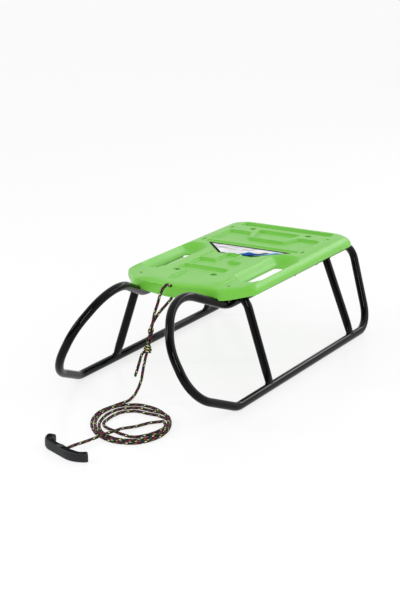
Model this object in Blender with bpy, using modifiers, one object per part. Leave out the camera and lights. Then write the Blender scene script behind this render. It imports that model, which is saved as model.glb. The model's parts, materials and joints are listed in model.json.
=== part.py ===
# Children's sled: bent steel tube frame, moulded plastic seat, pull rope with a moulded grip.
# Metres, +Z up, the front of the sled towards -Y, runners on z = 0.

import bpy
import bmesh
from math import cos, sin, tan, pi, radians, sqrt
from mathutils import Matrix, Vector

# Frame tubes
TUBE_DIAMETER = 0.018
TUBE_RADIUS = TUBE_DIAMETER / 2
TUBE_SIDES = 12
TRACK = 0.380
GAP = 0.0003
BEND_STEP = radians(11)

# Side loop: where the straight runs of the tube would cross, and the radius of each bend
CURL_LEAN = radians(28.06)
REAR_LEAN = radians(19.29)
RAIL_Z = 0.1915
RAIL_FALL = 0.0148
CURL_RISE = 0.0520
CURL_FRONT_Y = -0.392
CURL_UNDER = 0.1305
CURL_OVER = 0.0835
CURL_LOW_Z = 0.0612
CURL_HIGH_Z = 0.1565
CURL_TOP = (CURL_FRONT_Y + CURL_OVER, RAIL_Z + CURL_RISE)
RAIL_DIP = (-0.1455, RAIL_Z - RAIL_FALL)
RAIL_REAR = (0.398, RAIL_Z)
RUNNER_FRONT_Y = CURL_FRONT_Y + CURL_UNDER
RUNNER_REAR_Y = 0.3655
RUNNER_BEND = 0.060
CURL_LOW_BEND = 0.088
CURL_HIGH_BEND = 0.090
CURL_TOP_BEND = 0.100
DIP_BEND = 0.090
REAR_TOP_BEND = 0.032

# Legs and cross members
FRONT_LEG_Y = -0.119
FRONT_LEG_LEAN = radians(18.26)
FRONT_TUBE_BEND = 0.040
FRONT_TUBE_LIFT = 0.0002
REAR_LEG_Y = 0.2715
REAR_LEG_LEAN = radians(19.80)
REAR_LEG_INTO_RAIL = 0.006
REAR_LEG_TOP_OUT = 0.003
LEG_INTO_RUNNER = 0.006
FOOT_LENGTH = 0.034
FOOT_SPREAD = 0.0261
FOOT_FLAT = 0.0112

# Seat shell
WALL = 0.0025
DECK_ABOVE_RAIL = 0.0327
SKIRT_DEPTH = 0.0212
APRON_DEPTH = 0.0292
DECK_Z = RAIL_Z + DECK_ABOVE_RAIL
SKIRT_Z = DECK_Z - SKIRT_DEPTH
APRON_Z = DECK_Z - APRON_DEPTH
SEAT_INBOARD = 0.032
SEAT_SIDE_X = TRACK / 2 - SEAT_INBOARD
SEAT_REAR_Y = 0.357
SEAT_FRONT_Y = -0.203
FRONT_BOW = 0.0053
SEAT_FRONT_CROSSING_Y = SEAT_FRONT_Y - FRONT_BOW
CORNER_CUT = (0.054, 0.0235)
FRONT_CORNER = (SEAT_SIDE_X - CORNER_CUT[0], SEAT_FRONT_Y + CORNER_CUT[1])
CORNER_LENGTH = 0.085
SIDE_CORNER_Y = SEAT_FRONT_Y + CORNER_LENGTH
CORNER_ROUND = 0.030
REAR_ROUND = 0.035
BOW_ROUND = 0.090
# Each edge's rounding: how far in it reaches on the deck, and how far below the deck it starts
FRONT_EDGE = (0.022, 0.0087)
CORNER_EDGE = (0.050, 0.0117)
SIDE_EDGE = (0.030, SKIRT_DEPTH)
REAR_EDGE = (0.018, 0.0162)
FILLET_SHARE = 0.48
EDGE_LEVELS = (0.0, 0.30, 0.53, 0.70, 0.84, 0.93, 0.98, 1.0)

# Pockets in the deck
POCKET_DEPTH = 0.005
RECESS_DEPTH = 0.0025
TROUGH_DEPTH = 0.0065
POCKET_MARGIN = 0.043
TROUGH_BACK = (0.049, 0.026)
POCKET_DRAFT = 0.0012
POCKET_ROUND = 0.004
CUT_ABOVE = 0.006
CUT_BELOW = 0.008

# Hand-holds: a scoop beside the grab rail with a slot through its floor
SCOOP_DEPTH = 0.0172
SCOOP_FLOOR_Z = DECK_Z - SCOOP_DEPTH
SCOOP_INBOARD = (0.0585, 0.0325)
SCOOP_FLOOR = (SEAT_SIDE_X - SCOOP_INBOARD[0], SEAT_SIDE_X - SCOOP_INBOARD[1], -0.0845, 0.092)
SCOOP_SPREAD = (0.022, 0.0265, 0.0255, 0.026)
SCOOP_ROUND = 0.010
SLOT_MARGIN = (0.0010, 0.0010, 0.0205, 0.0225)
HAND_SLOT = (SCOOP_FLOOR[0] + SLOT_MARGIN[0], SCOOP_FLOOR[1] - SLOT_MARGIN[1],
             SCOOP_FLOOR[2] + SLOT_MARGIN[2], SCOOP_FLOOR[3] - SLOT_MARGIN[3])
HAND_SLOT_ROUND = 0.0115
# The grab rail's inner side goes on down past the slot
HAND_LIP = 0.0065
HAND_LIP_ENDS = 0.010

# Holes and marks in the deck
HOLE_DIAMETER = 0.0155
HOLE_PLACES = ((0.0443, -0.102), (0.0712, 0.285))
TOOL_SLOT = (0.0055, 0.018)
TOOL_SLOT_INBOARD = (0.0346, 0.0364)
TOOL_SLOT_Y = (0.1507, 0.2773)
TOOL_SLOT_PLACES = [(SEAT_SIDE_X - inboard, y) for inboard, y in zip(TOOL_SLOT_INBOARD, TOOL_SLOT_Y)]
APRON_MARK = (0.0198, 0.0445)
APRON_MARK_DROP = 0.0092
APRON_MARK_Z = DECK_Z - APRON_MARK_DROP
APRON_MARK_HEIGHT = 0.0012
SKIRT_NOTCH_PLACES = (-0.108, 0.277)
SKIRT_NOTCH = (0.007, 0.0035)
APRON_REACH = (0.038, 0.108)
APRON_MARK_ROUND = 0.0007
APRON_MARK_DEPTH = 0.0085

# Underside ribs
RIB = 0.0025
RIB_SETBACK = 0.0015
RIB_Z = SKIRT_Z + RIB_SETBACK
RIB_FRONT_SETBACK = 0.020
RIB_OVERLAP = 0.001
LONG_RIB_PLACES = (0.014, 0.084)
LAST_RIB_BACK = 0.013
CROSS_RIB_PLACES = (-0.137, 0.127, 0.143, 0.224, 0.240, SEAT_REAR_Y - LAST_RIB_BACK)
SADDLE_PLACES = (-0.137, 0.127, 0.143, 0.224, 0.240)
SADDLE_WIDTH = 0.030
SADDLE_THICKNESS = 0.003
SADDLE_OVERLAP = 0.002

# Screws
SCREW_SHANK = 0.0036
SCREW_HEAD = 0.0072
SCREW_HEAD_HEIGHT = 0.0018
FRONT_SCREW = (0.005, -0.1465)
FRONT_SCREW_BOTTOM_DEPTH = 0.007
FRONT_SCREW_SINK = 0.0047
FRONT_SCREW_FACE_Z = DECK_Z - FRONT_SCREW_SINK
RAIL_SCREW_PLACES = (0.135, 0.232)
RAIL_SCREW_STOP = 0.0142
RAIL_SCREW_TOP_Z = DECK_Z - RAIL_SCREW_STOP
BOSS = 0.0095
BOSS_STEP = 0.0004
BOSS_FOOT = 0.004
SPOT_FACE = SCREW_HEAD + 0.0012

# Label
LABEL_INBOARD = 0.058
LABEL_REAR = (SEAT_SIDE_X - LABEL_INBOARD, 0.1425)
LABEL_FRONT = (0.0400, 0.0720)
LABEL_THICKNESS = 0.0004
LABEL_ROUND = 0.004

# Rope and grip
ROPE = 0.0055
ROPE_HOLE = 0.0072
ROPE_HOLE_REACH = (0.009, 0.012)
ROPE_HOLE_INSIDE = (0.0025, 0.0077)
ROPE_HOLE_AT = Vector((0.0010, SEAT_FRONT_Y + ROPE_HOLE_INSIDE[0], DECK_Z - ROPE_HOLE_INSIDE[1]))
ROPE_HOLE_TILT = radians(45)
TWIST = 0.0090
KNOT = 0.0150
COIL_CENTRE = Vector((0.0474, -0.4313))
COIL_LONG = 0.1105
COIL_SHORT = 0.078
COIL_AXIS = radians(122)
COIL_TURNS = 3.64
COIL_START = radians(136)
COIL_POINTS = 26
COIL_END_TURN = radians(14)
COIL_FIRST_PITCH = 0.0066
COIL_PITCH = (0.0108, 0.0056, 0.00015, 0.0026)
COIL_PITCH_AXIS = radians(120)
# On the right of the coil every second turn climbs onto its neighbours
CLIMB = 0.0053
CLIMB_REACH = 0.0062
CLIMB_MIDDLE = radians(18)
CLIMB_WIDTH = radians(80)
BIGHT = 0.020
BIGHT_FROM, BIGHT_FULL, BIGHT_LEAVES, BIGHT_TO = (radians(a) for a in (212, 276, 288, 322))
GRIP_MIDDLE = Vector((0.0150, -0.6255))
GRIP_TURN = radians(-23)
GRIP_STRAIGHT = 0.052
GRIP_END_BEND = 0.040
GRIP_END_ANGLE = radians(62)
GRIP_WIDTH = 0.0180
GRIP_HEIGHT = 0.0170
GRIP_GROOVE = 0.0026
GRIP_GROOVES = 4
GRIP_BORE = 0.0068
STOPPER = 0.0105
STOPPER_POCKET = 0.0140
STOPPER_Z = 0.0085
STOPPER_ROOM = 0.0050
STOPPER_HEIGHT = 0.0090
GRIP_MOUTH = 0.008
GRIP_END_ROUND = 0.006
GRIP_END_DRAW = 0.0015
GRIP_SQUARENESS = 0.6
GRIP_SECTION_POINTS = 16
GRIP_SECTIONS = 28
GRIP_CELLS = 3
GRIP_CELL_FROM = 0.0100
GRIP_CELL_STEPS = 3
GRIP_END_WALL = 0.0035
GRIP_RIB = 0.0020
GRIP_WALL = 0.0030


def clear_scene():
    for item in list(bpy.data.objects):
        bpy.data.objects.remove(item, do_unlink=True)


def new_collection(name):
    group = bpy.data.collections.new(name)
    bpy.context.scene.collection.children.link(group)
    return group


clear_scene()
sled = new_collection("childrens_sled")
cutters = new_collection("cutters")


def cutter_group(name):
    group = bpy.data.collections.new(name)
    cutters.children.link(group)
    return group


def finish(name, colour, roughness, metallic=0.0):
    material = bpy.data.materials.new(name)
    material.use_nodes = True
    shader = material.node_tree.nodes["Principled BSDF"]
    shader.inputs["Base Color"].default_value = (*colour, 1.0)
    shader.inputs["Roughness"].default_value = roughness
    shader.inputs["Metallic"].default_value = metallic
    material.diffuse_color = (*colour, 1.0)
    return material


black_paint = finish("black_paint", (0.010, 0.010, 0.011), 0.18)
lime_plastic = finish("lime_plastic", (0.235, 0.610, 0.090), 0.42)
zinc_steel = finish("zinc_steel", (0.45, 0.42, 0.36), 0.35, 1.0)
label_film = finish("label_film", (0.80, 0.81, 0.83), 0.35)
braided_rope = finish("braided_rope", (0.020, 0.024, 0.030), 0.85)
black_grip = finish("black_grip", (0.022, 0.022, 0.024), 0.50)


def place(name, data, group, material=None):
    item = bpy.data.objects.new(name, data)
    group.objects.link(item)
    if material:
        data.materials.append(material)
    if group is not sled:
        item.hide_render = True
        item.display_type = "WIRE"
    return item


def tube_curve(name, points, radius, group, material=None, closed=False, sides=TUBE_SIDES):
    curve = bpy.data.curves.new(name, "CURVE")
    curve.dimensions = "3D"
    curve.bevel_depth = radius
    curve.bevel_resolution = (sides - 4) // 2
    curve.use_fill_caps = not closed
    spline = curve.splines.new("POLY")
    spline.points.add(len(points) - 1)
    for knot, point in zip(spline.points, points):
        knot.co = (*point, 1.0)
    spline.use_cyclic_u = closed
    return place(name, curve, group, material)


# A curve takes no Boolean, so a tube that is cut becomes a mesh with welded caps
def tube_mesh(name, points, radius, group, material=None, closed=False, sides=TUBE_SIDES):
    guide = tube_curve(name + "_guide", points, radius, cutters, None, closed, sides)
    bpy.context.view_layer.update()
    evaluated = guide.evaluated_get(bpy.context.evaluated_depsgraph_get())
    mesh = bpy.data.meshes.new_from_object(evaluated)
    mesh.name = name
    form = bmesh.new()
    form.from_mesh(mesh)
    bmesh.ops.remove_doubles(form, verts=form.verts, dist=0.00001)
    form.to_mesh(mesh)
    form.free()
    item = place(name, mesh, group, material)
    item.matrix_world = guide.matrix_world.copy()
    bpy.data.objects.remove(guide, do_unlink=True)
    mesh.shade_smooth()
    mesh.set_sharp_from_angle(angle=radians(40))
    return item


# Straight runs between corners, with a true arc of the given radius at each
def bend(corners, closed=False):
    points = []
    count = len(corners)
    for i, (corner, radius) in enumerate(corners):
        corner = Vector(corner)
        if not closed and i in (0, count - 1):
            points.append(corner)
            continue
        before = Vector(corners[i - 1][0])
        after = Vector(corners[(i + 1) % count][0])
        arrive = (corner - before).normalized()
        leave = (after - corner).normalized()
        angle = arrive.angle(leave)
        start = corner - arrive * radius * tan(angle / 2)
        inward = (leave - arrive * cos(angle)).normalized()
        steps = max(3, round(angle / BEND_STEP))
        for k in range(steps + 1):
            turn = angle * k / steps
            points.append(start + arrive * radius * sin(turn) + inward * radius * (1 - cos(turn)))
    return points


def mirrored(points, side):
    return [Vector((side * p[0], p[1], p[2])) for p in points]


def leaned(y, z, lean):
    return (TRACK / 2 - tan(lean) * (z - TUBE_RADIUS), y, z)


def loop_corners():
    return [
        (leaned(RUNNER_FRONT_Y, TUBE_RADIUS, CURL_LEAN), RUNNER_BEND),
        (leaned(CURL_FRONT_Y, CURL_LOW_Z, CURL_LEAN), CURL_LOW_BEND),
        (leaned(CURL_FRONT_Y, CURL_HIGH_Z, CURL_LEAN), CURL_HIGH_BEND),
        (leaned(*CURL_TOP, CURL_LEAN), CURL_TOP_BEND),
        (leaned(*RAIL_DIP, CURL_LEAN), DIP_BEND),
        (leaned(*RAIL_REAR, REAR_LEAN), REAR_TOP_BEND),
        (leaned(RUNNER_REAR_Y, TUBE_RADIUS, REAR_LEAN), RUNNER_BEND),
    ]


# The top rail's centre at a given y, along its straight run
def rail_at(y):
    dip = Vector(leaned(*RAIL_DIP, CURL_LEAN))
    rear = Vector(leaned(*RAIL_REAR, REAR_LEAN))
    return dip.lerp(rear, (y - dip.y) / (rear.y - dip.y))


# Height of the tube's centre at the bottom of the dip, which the bend lifts off its corner
def dip_height():
    top = Vector(leaned(*CURL_TOP, CURL_LEAN))
    dip = Vector(leaned(*RAIL_DIP, CURL_LEAN))
    rear = Vector(leaned(*RAIL_REAR, REAR_LEAN))
    angle = (dip - top).angle(rear - dip)
    return dip.z + DIP_BEND * (1 / cos(angle / 2) - 1)


def boolean(item, operation, other=None, group=None):
    step = item.modifiers.new(operation.lower(), "BOOLEAN")
    step.operation = operation
    step.solver = "EXACT"
    if group:
        step.operand_type = "COLLECTION"
        step.collection = group
    else:
        step.object = other


def mesh_object(name, form, group, material=None, smooth=35):
    bmesh.ops.recalc_face_normals(form, faces=form.faces)
    mesh = bpy.data.meshes.new(name)
    form.to_mesh(mesh)
    form.free()
    mesh.shade_smooth()
    mesh.set_sharp_from_angle(angle=radians(smooth))
    return place(name, mesh, group, material)


def box(name, low, high, group, material=None):
    form = bmesh.new()
    centre = (Vector(low) + Vector(high)) / 2
    size = Vector(high) - Vector(low)
    where = Matrix.Translation(centre) @ Matrix.Diagonal((*size, 1.0))
    bmesh.ops.create_cube(form, size=1.0, matrix=where)
    return mesh_object(name, form, group, material)


def cylinder(name, diameter, bottom, top, group, sides=12):
    form = bmesh.new()
    bottom, top = Vector(bottom), Vector(top)
    turn = (top - bottom).to_track_quat("Z", "Y").to_matrix().to_4x4()
    where = Matrix.Translation((bottom + top) / 2) @ turn
    bmesh.ops.create_cone(form, cap_ends=True, segments=sides, radius1=diameter / 2, radius2=diameter / 2,
                          depth=(top - bottom).length, matrix=where)
    return mesh_object(name, form, group)


# Skin between rings of equal count, closed at both ends
def loft(name, rings, group, material=None, smooth=35):
    form = bmesh.new()
    rows = [[form.verts.new(p) for p in ring] for ring in rings]
    for low, high in zip(rows, rows[1:]):
        for i in range(len(low)):
            j = (i + 1) % len(low)
            form.faces.new((low[i], low[j], high[j], high[i]))
    form.faces.new(list(reversed(rows[0])))
    form.faces.new(rows[-1])
    return mesh_object(name, form, group, material, smooth)


# Moves each edge of a counter-clockwise outline inwards by its own distance
def inset(outline, distances):
    count = len(outline)
    if not hasattr(distances, "__len__"):
        distances = [distances] * count
    lines = []
    for i in range(count):
        start, end = Vector(outline[i]), Vector(outline[(i + 1) % count])
        run = (end - start).normalized()
        lines.append((start + Vector((-run.y, run.x)) * distances[i], run))
    moved = []
    for i in range(count):
        (a, run_a), (b, run_b) = lines[i - 1], lines[i]
        cross = run_a.x * run_b.y - run_a.y * run_b.x
        along = ((b.x - a.x) * run_b.y - (b.y - a.y) * run_b.x) / cross
        moved.append(a + run_a * along)
    return moved


# Fillets every corner of an outline with an arc of its own radius
def rounded(outline, radii, steps=3):
    count = len(outline)
    if not hasattr(radii, "__len__"):
        radii = [radii] * count
    points = []
    for i in range(count):
        corner = Vector(outline[i])
        before, after = Vector(outline[i - 1]), Vector(outline[(i + 1) % count])
        arrive, leave = (corner - before).normalized(), (after - corner).normalized()
        angle = arrive.angle(leave)
        room = FILLET_SHARE * min((corner - before).length, (after - corner).length) / tan(angle / 2)
        radius = min(radii[i], room)
        inward = (leave - arrive * cos(angle)).normalized()
        start = corner - arrive * radius * tan(angle / 2)
        for k in range(steps + 1):
            turn = angle * k / steps
            points.append(start + arrive * radius * sin(turn) + inward * radius * (1 - cos(turn)))
    return points


def at_height(points, z):
    return [Vector((p.x, p.y, z)) for p in points]


def flipped(outline):
    return [(-x, y) for x, y in reversed(outline)]


def rectangle(x0, x1, y0, y1):
    return [(x0, y0), (x1, y0), (x1, y1), (x0, y1)]


# Frame
SIDES = (("left", -1), ("right", 1))
loop_path = bend(loop_corners(), closed=True)
tube_clearance = cutter_group("tube_clearance")
screw_clearance = cutter_group("screw_clearance")


def make_side_loops():
    for name, side in SIDES:
        path = mirrored(loop_path, side)
        loop = tube_mesh(name + "_side_loop", path, TUBE_RADIUS, sled, black_paint, closed=True)
        boolean(loop, "DIFFERENCE", group=screw_clearance)
        tube_mesh(name + "_loop_clearance", path, TUBE_RADIUS + GAP, tube_clearance, closed=True)


# The lower end of a leg is pressed flat along the runner, where it is welded
def press_foot(item, side_points):
    for vertex in item.data.vertices:
        reach = 1 - (vertex.co.z - TUBE_RADIUS) / FOOT_LENGTH
        if reach <= 0:
            continue
        share = min(1.0, reach) ** 2 * (3 - 2 * min(1.0, reach))
        side = 1 if vertex.co.x > 0 else -1
        centre = side_points(vertex.co.z)
        wider = 1 + (FOOT_SPREAD / TUBE_DIAMETER - 1) * share
        flatter = 1 + (FOOT_FLAT / TUBE_DIAMETER - 1) * share
        vertex.co.y = centre[1] + (vertex.co.y - centre[1]) * wider
        vertex.co.x = side * (centre[0] + (abs(vertex.co.x) - centre[0]) * flatter)


def leg_line(lean, y, low, high, steps=6):
    points = []
    for k in range(steps + 1):
        z = low + (high - low) * k / steps
        points.append(Vector(leaned(y, z, lean)))
    return points


def cope_to_loops(item):
    for name, _ in SIDES:
        boolean(item, "DIFFERENCE", other=bpy.data.objects[name + "_loop_clearance"])


def front_tube_height():
    return rail_at(FRONT_LEG_Y).z + TUBE_DIAMETER + GAP + FRONT_TUBE_LIFT


def front_tube_path():
    foot_z = TUBE_DIAMETER - LEG_INTO_RUNNER
    foot = leg_line(FRONT_LEG_LEAN, FRONT_LEG_Y, foot_z, foot_z + FOOT_LENGTH)
    top = Vector(leaned(FRONT_LEG_Y, front_tube_height(), FRONT_LEG_LEAN))
    corners = [(foot[-1], 0), (top, FRONT_TUBE_BEND), (Vector((-top.x, top.y, top.z)), FRONT_TUBE_BEND),
               (mirrored([foot[-1]], -1)[0], 0)]
    arch = bend(corners)
    return foot[:-1] + arch + list(reversed(mirrored(foot[:-1], -1)))


def make_front_cross_tube():
    path = front_tube_path()
    tube = tube_mesh("front_cross_tube", path, TUBE_RADIUS, sled, black_paint)
    press_foot(tube, lambda z: leaned(FRONT_LEG_Y, z, FRONT_LEG_LEAN))
    cope_to_loops(tube)
    tube_mesh("front_tube_clearance", path, TUBE_RADIUS + GAP, tube_clearance)


def make_rear_legs():
    foot_z = TUBE_DIAMETER - LEG_INTO_RUNNER
    rail = rail_at(REAR_LEG_Y)
    start = leg_line(REAR_LEG_LEAN, REAR_LEG_Y, foot_z, foot_z + FOOT_LENGTH)
    top = Vector((rail.x + REAR_LEG_TOP_OUT, REAR_LEG_Y, rail.z - REAR_LEG_INTO_RAIL))
    for name, side in SIDES:
        path = mirrored(start + [top], side)
        leg = tube_mesh("rear_" + name + "_leg", path, TUBE_RADIUS, sled, black_paint)
        press_foot(leg, lambda z: leaned(REAR_LEG_Y, z, REAR_LEG_LEAN))
        cope_to_loops(leg)


def make_rear_cross_bar():
    rail = rail_at(REAR_LEG_Y)
    end = Vector((rail.x - REAR_LEG_INTO_RAIL, REAR_LEG_Y, rail.z))
    bar = tube_mesh("rear_cross_bar", [mirrored([end], -1)[0], end], TUBE_RADIUS, sled, black_paint)
    cope_to_loops(bar)


# Seat
def seat_outline():
    side = SEAT_SIDE_X
    front = FRONT_CORNER
    return [(0, SEAT_FRONT_CROSSING_Y), front, (side, SIDE_CORNER_Y), (side, SEAT_REAR_Y),
            (-side, SEAT_REAR_Y), (-side, SIDE_CORNER_Y), (-front[0], front[1])]


# How far an edge has drawn in at a height, going over its rounding to the deck
def edge_inset(edge, z, wall):
    reach, drop = edge
    share = (z - DECK_Z + drop) / (drop - wall)
    share = min(1.0, max(0.0, share))
    return wall + reach * (1 - sqrt(1 - share * share))


def seat_ring(z, wall):
    edges = (FRONT_EDGE, CORNER_EDGE, SIDE_EDGE, REAR_EDGE, SIDE_EDGE, CORNER_EDGE, FRONT_EDGE)
    outline = inset(seat_outline(), [edge_inset(edge, z, wall) for edge in edges])
    radii = (BOW_ROUND, CORNER_ROUND, CORNER_ROUND, REAR_ROUND, REAR_ROUND, CORNER_ROUND, CORNER_ROUND)
    return at_height(rounded(outline, radii), z)


def seat_mass(name, wall, bottom, group, material=None):
    top = DECK_Z - wall
    levels = [SKIRT_Z + (top - SKIRT_Z) * share for share in EDGE_LEVELS]
    rings = [seat_ring(z, wall) for z in [bottom] + levels]
    return loft(name, rings, group, material)


def pocket_outlines():
    front = [(-0.027, -0.168), (0.027, -0.168), (0.027, -0.088), (0.0555, -0.083),
             (0.0520, -0.0526), (-0.0520, -0.0526), (-0.0555, -0.083), (-0.027, -0.088)]
    middle = [(-0.0500, -0.043), (0.0500, -0.043), (0.0500, 0.008), (0.0145, 0.008),
              (0.0145, 0.066), (-0.0145, 0.066), (-0.0145, 0.008), (-0.0500, 0.008)]
    wide = SEAT_SIDE_X - POCKET_MARGIN
    rear = [(-wide, 0.167), (wide, 0.167), (wide - 0.002, 0.2565), (0.0612, 0.2565), (0.045, 0.211),
            (-0.045, 0.211), (-0.0612, 0.2565), (-wide + 0.002, 0.2565)]
    inner = [(-0.035, 0.224), (0.035, 0.224), (0.051, 0.284), (-0.051, 0.284)]
    trough_front, trough_back = (SEAT_REAR_Y - back for back in TROUGH_BACK)
    trough = [(-wide + 0.002, trough_front), (wide - 0.002, trough_front),
              (wide - 0.003, trough_back), (-wide + 0.003, trough_back)]
    corner = wide - 0.0045
    recess = [(-0.0565, 0.013), (-0.0205, 0.013), (-0.0205, 0.0700), (0.0205, 0.0700), (0.0205, 0.013),
              (0.0565, 0.013), (0.0565, 0.080), (corner, 0.1445), (corner, 0.1535), (-corner, 0.1535),
              (-corner, 0.1445), (-0.0565, 0.080)]
    return [("front_pocket", front, POCKET_DEPTH), ("middle_pocket", middle, POCKET_DEPTH),
            ("rear_pocket", rear, POCKET_DEPTH), ("inner_pocket", inner, POCKET_DEPTH),
            ("rear_trough", trough, TROUGH_DEPTH), ("label_recess", recess, RECESS_DEPTH)]


# A pocket's sides lean out by the draft from its floor to the deck, and on above it
def pocket(name, outline, depth, grow, group):
    floor = DECK_Z - depth - grow
    top = DECK_Z - grow + CUT_ABOVE
    lean = POCKET_DRAFT * (depth + CUT_ABOVE) / POCKET_DEPTH
    low = at_height(rounded(inset(outline, -grow), POCKET_ROUND, 2), floor)
    high = at_height(rounded(inset(outline, -grow - lean), POCKET_ROUND, 2), top)
    loft(name, [low, high], group)


def scoop(name, side, grow, group):
    x0, x1, y0, y1 = SCOOP_FLOOR
    rise = (DECK_Z + CUT_ABOVE - SCOOP_FLOOR_Z) / (DECK_Z - SCOOP_FLOOR_Z)
    floor = rectangle(x0, x1, y0, y1)
    left, right, front, back = (spread * rise for spread in SCOOP_SPREAD)
    rim = rectangle(x0 - left, x1 + right, y0 - front, y1 + back)
    if side < 0:
        floor, rim = flipped(floor), flipped(rim)
    low = at_height(rounded(inset(floor, -grow * 0.6), SCOOP_ROUND, 4), SCOOP_FLOOR_Z - grow)
    high = at_height(rounded(inset(rim, -grow), SCOOP_ROUND * 2, 4), DECK_Z + CUT_ABOVE - grow)
    loft(name, [low, high], group)


def slot(name, outline, radius, low, high, side, group):
    if side < 0:
        outline = flipped(outline)
    ring = rounded(outline, radius, 3)
    loft(name, [at_height(ring, low), at_height(ring, high)], group)


def make_core(groups):
    core = seat_mass("seat_core", WALL, APRON_Z - CUT_BELOW, cutters)
    boolean(core, "DIFFERENCE", group=groups["grown"])
    boolean(core, "DIFFERENCE", group=groups["ribs"])
    return core


def add_pockets(groups):
    for name, outline, depth in pocket_outlines():
        pocket(name, outline, depth, 0.0, groups["pockets"])
        pocket(name + "_inside", outline, depth, WALL, groups["grown"])
    for name, side in SIDES:
        scoop(name + "_scoop", side, 0.0, groups["pockets"])
        scoop(name + "_scoop_inside", side, WALL, groups["grown"])


def add_ribs(groups):
    half = RIB / 2
    top = DECK_Z + RIB_OVERLAP
    for x in LONG_RIB_PLACES:
        for name, side in SIDES:
            low = (side * x - half, SEAT_FRONT_Y + RIB_FRONT_SETBACK, RIB_Z)
            high = (side * x + half, SEAT_REAR_Y - RIB_OVERLAP, top)
            box(name + "_long_rib", low, high, groups["ribs"])
    for y in CROSS_RIB_PLACES:
        low = (-SEAT_SIDE_X + RIB_OVERLAP, y - half, RIB_Z)
        high = (SEAT_SIDE_X - RIB_OVERLAP, y + half, top)
        box("cross_rib", low, high, groups["ribs"])


def screw_places():
    rail = Vector(leaned(*RAIL_DIP, CURL_LEAN))
    places = [("front_seat_screw", Vector((rail.x + FRONT_SCREW[0], FRONT_SCREW[1], dip_height())))]
    for name, y in zip(("middle_rail_screw", "rear_rail_screw"), RAIL_SCREW_PLACES):
        places.append((name, rail_at(y)))
    return places


def add_saddles(groups):
    front, back = HAND_SLOT[2] + HAND_LIP_ENDS, HAND_SLOT[3] - HAND_LIP_ENDS
    for name, side in SIDES:
        inner, outer = side * HAND_SLOT[1], side * (HAND_SLOT[1] + WALL)
        low = (min(inner, outer), front, SCOOP_FLOOR_Z - HAND_LIP)
        high = (max(inner, outer), back, SCOOP_FLOOR_Z - WALL / 4)
        box(name + "_hand_lip", low, high, groups["saddles"])
        for y in SADDLE_PLACES:
            rail = rail_at(y)
            low = (side * rail.x - SADDLE_WIDTH / 2, y - SADDLE_THICKNESS / 2, rail.z + SADDLE_OVERLAP)
            high = (side * rail.x + SADDLE_WIDTH / 2, y + SADDLE_THICKNESS / 2, RIB_Z + SADDLE_OVERLAP)
            box(name + "_saddle", low, high, groups["saddles"])
        for kind, place_at in screw_places():
            x, y, z = side * place_at.x, place_at.y, place_at.z
            top = DECK_Z + RIB_OVERLAP
            cylinder(name + "_boss_root", BOSS, (x, y, RIB_Z), (x, y, top), groups["ribs"])
            foot, top = z + BOSS_FOOT, RIB_Z + SADDLE_OVERLAP
            cylinder(name + "_boss", BOSS - BOSS_STEP, (x, y, foot), (x, y, top), groups["saddles"])


def add_openings(groups):
    cuts = groups["openings"]
    low, high = APRON_Z - CUT_BELOW, DECK_Z + CUT_ABOVE
    for name, side in SIDES:
        for x, y in HOLE_PLACES:
            x = side * x
            cylinder(name + "_round_hole", HOLE_DIAMETER, (x, y, low), (x, y, high), cuts, 20)
        width, length = TOOL_SLOT
        for x, y in TOOL_SLOT_PLACES:
            outline = rectangle(x - width / 2, x + width / 2, y - length / 2, y + length / 2)
            slot(name + "_tool_slot", outline, width * FILLET_SHARE, RIB_Z - CUT_BELOW, high, side, cuts)
        slot(name + "_hand_slot", rectangle(*HAND_SLOT), HAND_SLOT_ROUND, RIB_Z - CUT_BELOW,
             SCOOP_FLOOR_Z + WALL, side, cuts)
        outline = rectangle(*APRON_MARK, SEAT_FRONT_CROSSING_Y, SEAT_FRONT_Y + APRON_MARK_DEPTH)
        slot(name + "_apron_mark", outline, APRON_MARK_ROUND, APRON_MARK_Z - APRON_MARK_HEIGHT / 2,
             APRON_MARK_Z + APRON_MARK_HEIGHT / 2, side, cuts)
        for y in SKIRT_NOTCH_PLACES:
            wide, tall = SKIRT_NOTCH
            low_corner = (side * SEAT_SIDE_X - wide / 2, y - wide / 2, APRON_Z)
            high_corner = (side * SEAT_SIDE_X + wide / 2, y + wide / 2, SKIRT_Z + tall)
            box(name + "_skirt_notch", low_corner, high_corner, cuts)
    axis = Vector((0, -cos(ROPE_HOLE_TILT), sin(ROPE_HOLE_TILT)))
    inside, outside = ROPE_HOLE_REACH
    cylinder("rope_hole", ROPE_HOLE, ROPE_HOLE_AT - axis * inside, ROPE_HOLE_AT + axis * outside, cuts, 16)


def add_screw_clearance(groups):
    width = SCREW_SHANK + 2 * GAP
    for name, side in SIDES:
        for kind, place_at in screw_places():
            x, y, z = side * place_at.x, place_at.y, place_at.z
            if kind == "front_seat_screw":
                low, high = z + TUBE_RADIUS - FRONT_SCREW_BOTTOM_DEPTH - GAP, DECK_Z + CUT_ABOVE
                face = FRONT_SCREW_FACE_Z
                cylinder(name + "_spot_face", SPOT_FACE, (x, y, face), (x, y, high), groups["openings"])
            else:
                low, high = z - TUBE_DIAMETER, RAIL_SCREW_TOP_Z + GAP
            bottom, top = (x, y, low), (x, y, high)
            hole = cylinder(name + "_" + kind + "_hole", width, bottom, top, screw_clearance)
            groups["openings"].objects.link(hole)


def add_skirt_trim():
    low, rear = APRON_Z - CUT_BELOW, SEAT_REAR_Y + TUBE_DIAMETER
    front, back = (SEAT_FRONT_Y + reach for reach in APRON_REACH)
    profile = [(front, low), (front, APRON_Z), (back, SKIRT_Z), (rear, SKIRT_Z), (rear, low)]
    rings = [[Vector((x, y, z)) for y, z in profile] for x in (-TRACK / 2, TRACK / 2)]
    return loft("skirt_trim", rings, cutters)


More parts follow.
